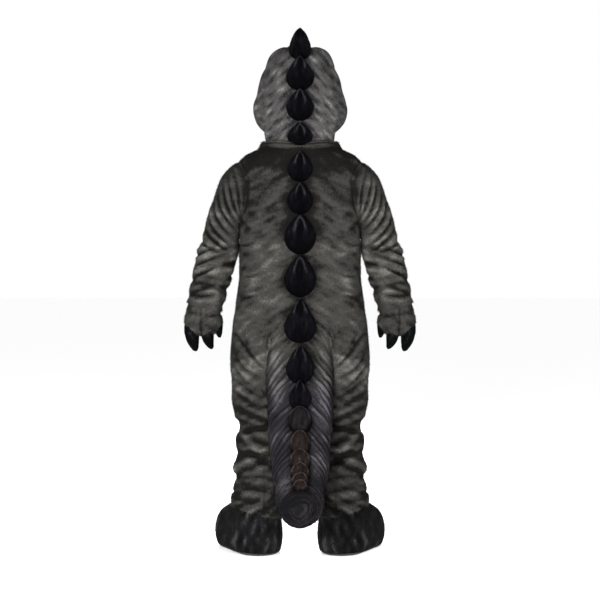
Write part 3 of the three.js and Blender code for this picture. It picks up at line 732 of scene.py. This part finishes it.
def sum_node(tree, *terms):
    """Adds (socket, factor) terms and a constant given as a number."""
    total = None
    for term in terms:
        node = tree.nodes.new("ShaderNodeMath")
        node.operation = "MULTIPLY_ADD"
        if isinstance(term, tuple):
            link(tree, term[0], node.inputs[0])
            node.inputs[1].default_value = term[1]
        else:
            node.inputs[0].default_value = term
            node.inputs[1].default_value = 1.0
        if total is None:
            node.inputs[2].default_value = 0.0
        else:
            link(tree, total, node.inputs[2])
        total = node.outputs[0]
    return total


def plush(name, dark, middle, light, patch=9.0, streak=(1, 1, 1), sheen=0.04, gloss=0.04, grain=0.5):
    """Plush: patches and grain in its tone, made lighter and darker by a per-point tone that carries
    painted shade and painted highlights besides random tone, under a soft sheen.
    """
    material, tree, shader = principled(name)
    worn = tree.nodes.new("ShaderNodeAttribute")
    worn.attribute_name = "worn"
    broad = noise_node(tree, patch, 4.0, streak)
    fine = noise_node(tree, 150.0, 3.0)
    tone = sum_node(tree, (worn.outputs["Fac"], 1.0), (broad.outputs["Fac"], BROAD_TONE),
                    (fine.outputs["Fac"], grain), -(BROAD_TONE + grain) / 2)
    ramp = ramp_node(tree, tone, [(0.08, dark), (0.5, middle), (0.98, light)])
    link(tree, ramp.outputs["Color"], shader.inputs["Base Color"])
    fill(shader, Roughness=0.92, Specular_IOR_Level=gloss, Sheen_Weight=sheen, Sheen_Roughness=0.45,
         Sheen_Tint=(*light, 1.0))
    bump = fill(tree.nodes.new("ShaderNodeBump"), Strength=0.35, Distance=0.0015)
    link(tree, fine.outputs["Fac"], bump.inputs["Height"])
    link(tree, bump.outputs["Normal"], shader.inputs["Normal"])
    return material


BODY_TONES = ((0.0030, 0.0029, 0.0026), (0.0185, 0.0180, 0.0162), (0.0640, 0.0625, 0.0560))
TAIL_TONES = ((0.0022, 0.0020, 0.0024), (0.0092, 0.0085, 0.0099), (0.0430, 0.0400, 0.0450))
BODY = plush("body_plush", *BODY_TONES, patch=8.0, streak=(0.7, 0.7, 2.2))
HEAD = plush("head_plush", (0.0070, 0.0066, 0.0066), (0.0310, 0.0298, 0.0295), (0.0950, 0.0920, 0.0910),
             patch=16.0)
TAIL = plush("tail_plush", *TAIL_TONES)
BOOTS = plush("boot_plush", (0.0009, 0.0009, 0.0009), (0.0034, 0.0032, 0.0035), (0.0240, 0.0225, 0.0240),
              patch=12.0, streak=(2.0, 2.0, 0.6))
VELVET = dict(patch=30.0, streak=(3.0, 1.0, 0.5), sheen=0.01)
SPIKE = plush("spike_velvet", (0.0006, 0.0006, 0.0009), (0.0020, 0.0020, 0.0027), (0.0150, 0.0148, 0.0180),
              gloss=0.01, **VELVET)
SCALE = plush("scale_velvet", (0.0010, 0.0008, 0.0007), (0.0062, 0.0044, 0.0040), (0.0440, 0.0325, 0.0300),
              gloss=0.02, **VELVET)
CLAW = plush("claw_felt", (0.0005, 0.0005, 0.0006), (0.0011, 0.0012, 0.0013), (0.0055, 0.0058, 0.0062),
             patch=40.0, sheen=0.0, gloss=0.01)
DUSK = plush("dusk_velvet", (0.0012, 0.0011, 0.0012), (0.0050, 0.0044, 0.0045), (0.0270, 0.0235, 0.0235),
             gloss=0.01, **VELVET)


def body_coloured_above(material, low, high):
    """Blends the suit's colours into a material from one height to another."""
    tree = material.node_tree
    shader = tree.nodes["Principled BSDF"]
    own = shader.inputs["Base Color"].links[0].from_socket
    tone = own.node.inputs["Fac"].links[0].from_socket
    body = ramp_node(tree, tone, list(zip((0.08, 0.5, 0.98), BODY_TONES)))
    place = tree.nodes.new("ShaderNodeTexCoord")
    split = tree.nodes.new("ShaderNodeSeparateXYZ")
    share = tree.nodes.new("ShaderNodeMapRange")
    share.interpolation_type = "SMOOTHSTEP"
    fill(share, From_Min=(low - SHOULDER_HEIGHT) * 0.001, From_Max=(high - SHOULDER_HEIGHT) * 0.001)
    blend = tree.nodes.new("ShaderNodeMix")
    blend.data_type = "RGBA"
    link(tree, place.outputs["Object"], split.inputs["Vector"])
    link(tree, split.outputs["Z"], share.inputs["Value"])
    link(tree, share.outputs["Result"], blend.inputs["Factor"])
    link(tree, own, blend.inputs["A"])
    link(tree, body.outputs["Color"], blend.inputs["B"])
    link(tree, blend.outputs["Result"], shader.inputs["Base Color"])


body_coloured_above(TAIL, *TAIL_COLOUR_STARTS)


def plain(name, colour, rough, coat=0.0):
    material, _, shader = principled(name)
    fill(shader, Base_Color=(*colour, 1.0), Roughness=rough, Coat_Weight=coat)
    return material


SOLE_FOAM = plain("sole_foam", (0.012, 0.012, 0.013), 0.85)
EYE_GLOSS = plain("eye_plastic", (0.006, 0.006, 0.007), 0.38, 0.1)


def cover(name, node, piece, nap, material, slot, mirror=False):
    """Builds a node's cover and the pile that stands on it, and gives both."""
    made = []
    for part, suffix in ((piece, "cover"), (nap, "pile")):
        if part is None:
            continue
        thing = part.build(f"{name}_{suffix}", material, mirror)
        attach(thing, "root")
        made.append(thing)
    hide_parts(node)
    if nap is not None:
        made[1].parent = made[0]
    return made


def pairs(name, piece, nap, material, slot, declare):
    """The left piece and its mirror for the right."""
    for side, mirror in (("left", False), ("right", True)):
        node = f"{name}_{side}"
        made = cover(node, node, piece, nap, material, slot, mirror)
        declare(made[0], made[1:])


def as_padded(thing, *others):
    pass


def relief_shade_and_tone(depth, points, seed, size=130):
    """Painted shade and highlight over random tone: darker in the troughs of folds and other hollows and
    lighter on their ridges.
    """
    return 0.5 + depth * RELIEF_SHADE_GAIN + 0.10 * noise(points, size, seed)


# The suit's panels

def armhole_distance(points):
    """The distance from the sleeve's axis as a share of its girth: 1 on the armhole's seam."""
    row_at = curve(SLEEVE_ROWS, "t")
    best = np.full(points.shape[:-1], 1e9)
    for t in np.linspace(0, 4.5, 28):
        row = row_at(t)
        away = points - np.array([row["x"], row["y"], row["z"]])
        wide = (away[..., 0] ** 2 + away[..., 2] ** 2) / row["wide"] ** 2
        best = np.minimum(best, np.sqrt(wide + (away[..., 1] / row["deep"]) ** 2))
    return best


def outside_sleeve(points):
    return (armhole_distance(points) > 0.98).astype(float)


def suit_panel(back):
    across = np.linspace(0, 1, 62) if back else np.linspace(-1, 0, 62)
    heights = np.concatenate([np.linspace(106, 600, 96)[:-1], np.linspace(600, SUIT_TOP, 128)])
    around, z = np.meshgrid(across, heights)
    base = suit_surface(around, z)
    base[..., 1] += SEAM_HALF if back else -SEAM_HALF
    base[..., 0] += SEAM_HALF
    lift = smooth(260 - z, 0, 150)
    base[..., 2] = z + (HEM_HEIGHT + HEM_RISE * base[..., 0] - heights[0]) * lift
    z = base[..., 2]
    normals = grid_normals(base, False, 1)
    x = base[..., 0]
    facing = smooth(np.abs(normals[..., 1]), 0.05, 0.55)
    depth = creases(x, z, BACK_FOLDS if back else FRONT_FOLDS) * facing
    centre = (suit_row(z)["side"] + suit_row(z)["inner"]) / 2
    angle = np.arctan2(base[..., 1], x - centre)
    on_leg = smooth(590 - z, 0, 70)
    depth += on_leg * bunches(angle * 100, z, LEG_GIRTH, LEG_BUNCH, SEED + 3) * (0.3 + 0.9 * facing)
    depth += 3.2 * noise(base, 240, SEED + 1) * smooth(z, 560, 700) * smooth(1440 - z, 0, 60)
    depth += 1.6 * noise(base, 90, SEED + 2)
    edge = np.minimum(np.abs(around), 1 - np.abs(around)) * 150
    seam = -2.4 * bell(edge, 3.5)
    armhole = bell(armhole_distance(base) - 1.03, 0.05)
    leg_seam = bell(x - LEG_SEAM_X, 3) * smooth(340 - z, -20, 20)
    if back:
        seam_shows = smooth(z, 900, 930) + (z < 660)
        seam = seam * np.where(np.abs(around) > 0.5, seam_shows, 0.8)
    hem = bell(z - HEM_HEIGHT - HEM_RISE * x - HEM_TURNED, 3)
    seam = seam - 2.5 * armhole - 1.6 * leg_seam - 0.5 * hem
    outer = base + normals * (depth + seam)[..., None]
    outer[..., 0] = np.maximum(outer[..., 0], SEAM_HALF)
    outer[..., 1] = np.maximum(outer[..., 1], SEAM_HALF) if back else np.minimum(outer[..., 1], -SEAM_HALF)
    normals = grid_normals(outer, False, 1)
    strokes = np.stack([x * 0.3 - 0.1 * z, base[..., 1] * 0.3, z + 0.3 * x], -1)
    worn = relief_shade_and_tone(depth + seam * 1.8, base, SEED + 5) + 0.19 * noise(strokes, 24, SEED + 6, 2)
    # Painted shade over the upper back and shoulders; darker down the legs, with more painted shade and
    # highlight in their folds; a painted shadow under the collar; lighter along the hem's lowest edge.
    worn -= 0.25 * smooth(z, 1130, 1240) + 0.16 * smooth(z, 1300, 1420) + 0.17 * smooth(640 - z, 0, 120)
    worn += 0.012 * depth * smooth(700 - z, 0, 120) - 0.03
    worn -= 0.14 * smooth(z, 1438, 1452) - 0.14 * smooth(HEM_HEIGHT + HEM_RISE * x + 10 - z, 0, 8)
    if back:
        worn -= 0.30 * spike_shadow(base)
    return outer, normals, worn


def as_panel(thing, others):
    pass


for where in ("back", "front"):
    surface = suit_panel(where == "back")
    made = clothed(surface, False, CLOTH, SUIT_PILE, downward, SEED + 11, outside_sleeve)
    pairs(f"{where}_panel", *made, BODY, "body_plush", as_panel)

# The sleeves

def suit_distance(points):
    """1 on the suit's surface, more outside it."""
    row = suit_row(np.clip(points[..., 2], SUIT_FOOT, SUIT_TOP))
    return (np.abs(points[..., 0]) / row["side"]) ** (2 / row["square"]) + (
        np.abs(points[..., 1]) / row["back"]) ** (2 / row["square"])


def outside_suit(points):
    return (suit_distance(points) > 0.97).astype(float)


def sleeve():
    around, t = np.meshgrid(np.arange(120) / 120, np.linspace(0.45, 12, 150))
    base = sleeve_surface(around, t)
    normals = grid_normals(base, True, -1)
    x, z = base[..., 0], base[..., 2]
    facing = smooth(np.abs(normals[..., 1]), 0.0, 0.5)
    depth = creases(x, z, ARM_FOLDS) * facing
    bunched = bunches(around * ARM_GIRTH, z, ARM_GIRTH, ARM_BUNCH, SEED + 21)
    depth += smooth(1150 - z, 0, 40) * bunched * (0.4 + 0.8 * facing)
    depth += 2.2 * noise(base, 120, SEED + 22)
    depth *= smooth(z, 888, 945) * 0.9 + 0.1
    inside = smooth(-normals[..., 0], 0.4, 0.9)
    armpit = ARMPIT["bulge"] * bell(z - ARMPIT["height"], ARMPIT["tall"]) * inside
    outer = base + normals * (depth * (1 - armpit / 6) + armpit)[..., None]
    seam = bell(suit_distance(base) - 1.03, 0.07) * smooth(z, 1060, 1130)
    # Painted shade towards the shoulder; darker along the armhole's seam.
    worn = relief_shade_and_tone(depth * 1.4, base, SEED + 23) - 0.02 - 0.3 * seam - 0.12 * smooth(z, 1180, 1330)
    worn += 0.10 * noise(base * [0.4, 0.4, 1.0], 26, SEED + 25, 2)
    return outer, grid_normals(outer, True, -1), worn


def as_sleeve(thing, others):
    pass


made = clothed(sleeve(), True, CLOTH, SUIT_PILE, downward, SEED + 24, outside_suit)
pairs("sleeve", *made, BODY, "body_plush", as_sleeve)

# The collar's rolled halves

def collar():
    turn, angle = np.meshgrid(turns(48), np.linspace(-np.pi / 2, np.pi / 2, 120))
    depth = np.where(angle > 0, COLLAR["back"], COLLAR["front"])
    to_end = (np.pi / 2 - np.abs(angle)) * 130
    lobe = 1 - 0.6 * bell(to_end, 24)
    up_share = signed_power(np.sin(turn), 0.8)
    fold = 3.6 * bell(turn - 0.5, 0.2)
    out = COLLAR["thick"] * np.cos(turn) * (0.85 + 0.15 * lobe) - fold
    sag = 1 + 0.12 * np.sin(angle * 7 + 1)
    x = (COLLAR["side"] + out) * np.cos(angle) + 0.2
    y = (depth + out) * np.sin(angle)
    z = COLLAR["z"] - COLLAR["dip"] * np.sin(angle) ** 6 + COLLAR["tall"] * up_share * lobe * sag
    base = np.stack([x, y, z], -1)
    base[..., 0] = np.maximum(base[..., 0], 0.2)
    normals = grid_normals(base, True, -1)
    # Painted highlight on the collar's upper side, painted shade on its underside and in its fold.
    worn = relief_shade_and_tone(-2.2 * fold, base, SEED + 32) + 0.30 * np.maximum(up_share, 0) ** 2
    return base, normals, worn - 0.16 - 0.2 * np.maximum(-up_share, 0)


surface = collar()
piece, nap = Piece(), Piece()
piece.add(*surface, grid_faces(*surface[0].shape[:2], True))
pile(nap, *surface, True, SUIT_PILE, downward, SEED + 33)
pairs("collar", piece, nap, BODY, "body_plush", as_padded)

# The head

def head_grid(rows, columns, inset):
    """The head from crown to neck: rays from its centre, closer together towards the snout."""
    share = np.arange(columns) / columns
    azimuth = 2 * np.pi * share + 0.55 * np.sin(2 * np.pi * share)
    ahead = np.stack([-np.sin(azimuth), np.cos(azimuth)], -1)

    def point(polar):
        flat = np.sin(polar)
        direction = np.stack([flat * ahead[:, 0], flat * ahead[:, 1], np.cos(polar) * np.ones(columns)], -1)
        return HEAD_CENTRE + direction * head_reach(direction, inset)[:, None]

    low, high = np.full(columns, 1.7), np.full(columns, 3.0)
    for _ in range(30):
        middle = (low + high) / 2
        below = point(middle)[:, 2] < HEAD_HEM
        high = np.where(below, middle, high)
        low = np.where(below, low, middle)
    return np.stack([point(0.012 + (high - 0.012) * u) for u in np.linspace(0, 1, rows)])


def head():
    base = head_grid(190, 230, 0)
    normals = grid_normals(base, True, 1)
    x, y, z = base[..., 0], base[..., 1], base[..., 2]
    depth = 1.6 * noise(base, 150, SEED + 41) + 0.8 * noise(base, 50, SEED + 42)
    line = MOUTH["height"] + MOUTH["slope"] * y
    lips = bell(z - line, MOUTH["groove"]) * smooth(MOUTH["corner"] - y, -14, 14)
    depth -= MOUTH["depth"] * lips
    nostril = np.hypot((y - NOSTRIL["y"]) / NOSTRIL["long"], (z - NOSTRIL["z"]) / NOSTRIL["tall"])
    depth -= NOSTRIL["deep"] * np.exp(-(nostril**4)) * (np.abs(x) > NOSTRIL["apart"])
    outer = base + normals * depth[..., None]
    # Painted shade in the mouth's groove and the nostrils; the spikes' feet get a painted shadow below.
    worn = relief_shade_and_tone(depth * 0.7, base, SEED + 43, 90)
    across, along = z + 1.1 * np.abs(x) + 0.35 * y, np.abs(x) - 0.9 * z
    streaks = np.stack([across, along * 0.24, 0.24 * y + 40 * np.sign(x)], -1)
    worn += 0.24 * noise(streaks, 24, SEED + 44) * smooth(y, -160, 0)
    worn -= 0.32 * spike_shadow(base)
    return outer, grid_normals(outer, True, 1), worn


def head_comb(points):
    """The pile runs back over the head from the snout and down the neck, fanning from the middle line."""
    x, y, z = points[..., 0], points[..., 1], points[..., 2]
    fan = np.where(y > -60, 0.55 * np.sign(x) * smooth(np.abs(x), 5, 60), 0)
    return np.stack([fan, np.where(y < -40, 1.0, 0.25), -smooth(y, -300, 60)], -1)


surface = head()
piece, nap = Piece(), Piece()
piece.add(*surface, grid_faces(*surface[0].shape[:2], True))
inner = head_grid(60, 76, FOAM)
piece.add(inner, -grid_normals(inner, True, 1), 0.1, grid_faces(60, 76, True)[:, ::-1])
pile(nap, *surface, True, HEAD_PILE, head_comb, SEED + 45)
as_padded(*cover("head", "head", piece, nap, HEAD, "head_plush"))


def eye():
    look = np.array([EYE["x"], EYE["y"], EYE["z"]])
    look /= np.linalg.norm(look)
    centre = HEAD_CENTRE + look * (head_reach(look) - EYE["sunk"])
    polar, turn = np.meshgrid(np.linspace(0.01, 1.75, 26), turns(40), indexing="ij")
    right = np.cross(look, [0, 0, 1.0])
    right /= np.linalg.norm(right)
    up = np.cross(right, look)
    normal = (look * np.cos(polar)[..., None] + right * (np.sin(polar) * np.cos(turn))[..., None]
              + up * (np.sin(polar) * np.sin(turn))[..., None])
    return centre + normal * EYE["radius"], normal


eye_points, eye_normals = eye()
piece = Piece()
piece.add(eye_points, eye_normals, 0.5, grid_faces(*eye_points.shape[:2], True)[:, ::-1])
pairs("eye", piece, None, EYE_GLOSS, "eye_plastic", lambda thing, others: None)

# The tail

def tail_filter(points):
    """Tail points drawn forward of the seat and the legs' backs move out to their surface."""
    row = suit_row(np.clip(points[..., 2], SUIT_FOOT, SUIT_TOP))
    x = np.abs(points[..., 0])
    centre = (row["side"] + row["inner"]) / 2
    half = np.where(points[..., 2] < CROTCH_HEIGHT, (row["side"] - row["inner"]) / 2, row["side"])
    from_middle = np.where(points[..., 2] < CROTCH_HEIGHT, np.maximum(x - centre, 0), x)
    share = np.clip(1 - (from_middle / half) ** (2 / row["square"]), 0, 1)
    back = row["back"] * share ** (row["square"] / 2) + 1.0
    points = points.copy()
    points[..., 1] = np.maximum(points[..., 1], back)
    return points


def tail():
    around, t = np.meshgrid(np.arange(132) / 132, np.linspace(0.0, 12, 330))
    base = tail_surface(around, t)
    normals = grid_normals(base, True, -1)
    row = curve(TAIL_ROWS, "t")
    steps = np.linspace(0, 12, 400)
    places = np.stack([row(steps)[k] for k in "yz"], -1)
    run = np.concatenate([[0], np.cumsum(np.linalg.norm(np.diff(places, axis=0), axis=-1))])
    length = np.interp(t, steps, run)
    wander = 9 * noise(base, 150, SEED + 51) + 4 * noise(base, 70, SEED + 52)
    steep = 0.95 * (1 - smooth(t, 7, 10))
    lateral = np.abs(base[..., 0])
    pitch = 33 - 24 * smooth(t, 7, 10.5)
    phase = (length - steep * lateral + wander) / pitch
    rings = np.abs(np.sin(np.pi * phase)) ** 0.8
    strength = (0.8 + 0.6 * noise(base, 110, SEED + 53)) * smooth(t, 0.9, 2.0)
    depth = 6.4 * (rings - 0.6) * strength * (1 - 0.6 * smooth(t, 8.5, 10.5))
    depth += 1.5 * noise(base, 160, SEED + 54)
    streaks = np.stack([phase * pitch, lateral * 0.25, 0.25 * base[..., 2]], -1)
    outer = base + normals * depth[..., None]
    outer = tail_filter(outer)
    # Painted shade in the grooves between the rings and painted highlight on their ridges, stronger towards
    # the tip; darker towards the tip; painted shadow round the spikes' feet; painted shade on the flanks.
    worn = relief_shade_and_tone(depth * 1.9, base, SEED + 55) + 0.2 * noise(streaks, 30, SEED + 57)
    worn += 0.7 * (rings - 0.6) * smooth(t, 8, 10)
    worn -= 0.42 * smooth(t, 8.6, 10) + 0.24 * smooth(t, 10.6, 11.5) + 0.28 * spike_shadow(base)
    worn -= 0.16 * smooth(np.abs(normals[..., 0]), 0.75, 0.97)
    return outer, grid_normals(outer, True, -1), worn


def tail_comb(points):
    return np.broadcast_to(np.array([0.0, 0.75, -0.65]), points.shape)


made = stuffed(tail(), (0, 1, 0), TAIL_PILE, tail_comb, SEED + 56)
as_padded(*cover("tail", "tail", *made, TAIL, "tail_plush"))

# The spikes

def spike(row, blunt):
    point, normal, up = spine(row["on"], row["at"])
    level, angle = np.meshgrid(np.concatenate([[-0.25], np.linspace(0, 1, 30) ** 0.8 * 0.995]),
                               turns(48), indexing="ij")
    cosine, sine = np.cos(angle), np.sin(angle)
    body = np.maximum(level, 0)
    narrowing = np.sqrt(1 - body**1.7) if blunt else (1 - body**1.5)
    if "bullet" in row:
        narrowing = np.sqrt(1 - body**1.4)
    shortening = np.sqrt(1 - body**2.2)
    pointed = 1.0 if blunt else 1 - 0.35 * np.maximum(0, cosine)
    along = shortening * row["long"] * cosine / 2 + body * row["long"] * 0.2
    across = narrowing * row["wide"] * sine * pointed / 2
    base = (point + up * along[..., None] + np.array([1.0, 0, 0]) * across[..., None]
            + normal * (level * row["tall"])[..., None])
    normals = grid_normals(base, True, 1)
    if ((base[12, 0] - point - up * row["long"] * 0.1) * normals[12, 0]).sum() < 0:
        normals = -normals
    upper, lower = smooth(cosine, 0.0, 0.5), smooth(-cosine, 0.0, 0.5)
    ridge = bell(sine, 0.13)
    trough = bell(sine, 0.4) * lower
    # Masks for painted light: a highlight along the foot's upper edge and an arc below the tip's upper
    # side.
    foot_highlight = bell(body, 0.12) * smooth(cosine, -0.5, 0.3)
    tip_ring_highlight = bell(body - 0.74, 0.09) * smooth(cosine, -0.6, 0.4)
    outer = base + normals * (0.7 * noise(base, 26, SEED + 61) + 0.9 * ridge * upper)[..., None]
    fine = noise(base * [1.0, 0.3, 0.2], 9, SEED + 62)
    worn = 0.45 + 0.14 * fine + 0.22 * foot_highlight
    # Painted highlight on faces turned up, painted shade on faces turned down.
    rise = normals[..., 2]
    worn += 0.30 * smooth(rise, 0.7, 0.98) - 0.26 * smooth(-rise, -0.2, 0.6)
    if blunt:
        # Painted highlight along each scale's upper rim and painted shade nearer its foot.
        rim = smooth(0.5 - normals[..., 1], 0, 0.35) * smooth(rise, -0.1, 0.3)
        return outer, normals, 0.43 + 0.14 * fine + 0.40 * rim - 0.42 * smooth(0.5 - body, 0, 0.4)
    # Painted highlight along the upper ridge and the arc below the tip, painted shade in the lower groove,
    # and darker at the tip.
    worn += 0.30 * ridge * upper * (1 - body) - 0.24 * trough + 0.42 * tip_ring_highlight - 0.3 * smooth(body, 0.8, 0.92)
    return outer, normals, worn


def spike_comb(normal, up):
    def comb(points):
        return np.broadcast_to(normal + up * 0.6, points.shape)
    return comb


for index, row in enumerate(SPIKES):
    blunt = index >= FIRST_BLUNT
    _, normal, up = spine(row["on"], row["at"])
    made = stuffed(spike(row, blunt), normal, VELVET_PILE, spike_comb(normal, up), SEED + 63 + index)
    velvet, slot = (SCALE, "scale_velvet") if blunt else (SPIKE, "spike_velvet")
    if index == FIRST_BLUNT:
        velvet = DUSK
    as_padded(*cover(row["name"], row["name"], *made, velvet, slot))

# The mitts and their claws

def mitt():
    around, t = np.meshgrid(np.arange(96) / 96, np.linspace(0, 7, 80))
    base = mitt_surface(around, t)
    normals = grid_normals(base, True, -1)
    depth = 1.8 * noise(base, 70, SEED + 81)
    back_seam = bell(base[..., 0] - MITT_SEAM_X, 4) * (base[..., 1] > -10)
    depth -= 2.4 * back_seam
    depth -= 2.5 * bell(base[..., 2] - 866 - 6 * np.sin(around * 12.6), 7)
    outer = base + normals * depth[..., None]
    # Painted shade in the wrist's crease and the back seam's groove; the back seam darker besides.
    worn = relief_shade_and_tone(depth * 1.8, base, SEED + 82) - 0.14 * back_seam - 0.13
    return outer, grid_normals(outer, True, -1), worn + 0.2 * noise(base, 34, SEED + 84)


def as_mitt(thing, others):
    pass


made = clothed(mitt(), True, CLOTH, SUIT_PILE, downward, SEED + 83, tipped=True)
pairs("mitt", *made, BODY, "body_plush", as_mitt)


def claw(row):
    foot = np.array([row["x"], row["y"], row["z"]], float)
    tip = np.array([row["tip_x"], row["tip_y"], row["tip_z"]], float)
    out = row["x"] + (row["x"] - row["tip_x"]) * 0.25
    bend = np.array([out, row["y"] + 4, (row["z"] + row["tip_z"]) / 2])
    levels = np.linspace(0, 1, 36) ** 0.85 * 0.995
    level, angle = np.meshgrid(levels, turns(40), indexing="ij")
    u = level[..., None]
    centre = foot * (1 - u) ** 2 + bend * 2 * u * (1 - u) + tip * u**2
    share = np.sqrt(1 - level**1.9)
    base = centre + np.stack([row["wide"] * share * np.cos(angle), row["deep"] * share * np.sin(angle),
                              np.zeros_like(level)], -1)
    normals = grid_normals(base, True, 1)
    if ((base[10] - centre[10]) * normals[10]).sum() < 0:
        normals = -normals
    depth = 0.6 * noise(base, 20, SEED + 91)
    return base + normals * depth[..., None], normals, 0.45 + 0.2 * noise(base, 18, SEED + 92)


for row in CLAWS:
    piece = Piece()
    capped(piece, *claw(row), (0, 0, -1))
    pairs(row["name"], piece, None, CLAW, "claw_felt", as_padded)

# The boots

boot_row = curve(BOOT_ROWS, "z")


def boot_grid(heights, columns, inset):
    turn = math.radians(BOOT["turned_out"])
    ahead = np.array([math.sin(turn), -math.cos(turn)])
    sideways = np.array([-ahead[1], ahead[0]])
    around, z = np.meshgrid((np.arange(columns) + 0.5) / columns, heights)
    angle = around * 2 * np.pi
    row = boot_row(z)
    toeward = smooth(np.cos(angle), -0.25, 0.25)
    radius = row["heel"] + (row["ball"] - row["heel"]) * toeward - inset
    along = row["reach"] * toeward + radius * np.cos(angle)
    across = radius * np.sin(angle)
    x = BOOT["x"] + ahead[0] * along + sideways[0] * across
    y = BOOT["y"] + ahead[1] * along + sideways[1] * across
    return np.stack([x, y, z], -1), around


def boot():
    heights = np.concatenate([np.linspace(SOLE, 200, 74), np.linspace(204, 250, 8)])
    base, around = boot_grid(heights, 150, 0)
    normals = grid_normals(base, True, 1)
    z = base[..., 2]
    heel_seam = bell(around - 0.5, 0.008)
    depth = 2.4 * noise(base, 110, SEED + 101) + 1.0 * noise(base, 45, SEED + 102) - 1.6 * heel_seam
    outer = base + normals * depth[..., None]
    worn = relief_shade_and_tone(depth, base, SEED + 103, 70) - 0.12 * heel_seam - 0.05
    # Painted shadow: darker from the suit's hem upwards.
    worn += 0.28 * noise(base * [1.0, 1.0, 0.5], 30, SEED + 104) - 0.2 * smooth(z, 105, 150)
    return outer, grid_normals(outer, True, 1), worn


made = clothed(boot(), True, BOOT_WALL, BOOT_PILE, downward, SEED + 105)
pairs("boot", *made, BOOTS, "boot_plush", as_padded)

for side in ("left", "right"):
    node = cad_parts[f"sole_{side}"]
    node.data.materials.clear()
    node.data.materials.append(SOLE_FOAM)

# The floor, the light and the camera

def aim(thing, place, target):
    thing.location = place
    thing.rotation_euler = (Vector(target) - Vector(place)).to_track_quat("-Z", "Y").to_euler()


def soft_light(name, place, target, size, power):
    data = bpy.data.lights.new(name, "AREA")
    data.shape = "DISK"
    data.size = size
    data.energy = power
    aim(put(name, data), place, target)


FLOOR_LEVEL = -SHOULDER_HEIGHT * 0.001
FLOOR_HALF = 60
floor_mesh = bpy.data.meshes.new("floor")
corners = [(x * FLOOR_HALF, y * FLOOR_HALF, FLOOR_LEVEL) for x, y in ((-1, -1), (1, -1), (1, 1), (-1, 1))]
floor_mesh.from_pydata(corners, [], [(0, 1, 2, 3)])
floor = put("floor", floor_mesh)
floor_mesh.materials.append(plain("pale_floor", (0.97, 0.97, 0.97), 0.8))

world = bpy.data.worlds.new("studio")
bpy.context.scene.world = world
world.use_nodes = True
fill(world.node_tree.nodes["Background"], Color=(1, 1, 1, 1), Strength=1.0)
MIDDLE = (0, 0, -0.5)
soft_light("key", (0.9, 4.4, -0.55), MIDDLE, 1.1, 540)
soft_light("side", (-3.2, 2.6, 0.4), MIDDLE, 1.6, 110)
soft_light("front", (0.6, -4.2, 0.6), MIDDLE, 1.6, 380)

CAMERA_LENS = 82.6
CAMERA_PLACE = (0, 5.0, 1.0 + FLOOR_LEVEL)
CAMERA_TARGET = (0, 0, 0.9165 + FLOOR_LEVEL)
camera = put("camera", bpy.data.cameras.new("camera"))
aim(camera, CAMERA_PLACE, CAMERA_TARGET)
camera.data.sensor_width = 36
camera.data.lens = CAMERA_LENS
bpy.context.scene.camera = camera
bpy.context.scene.view_settings.view_transform = "Standard"
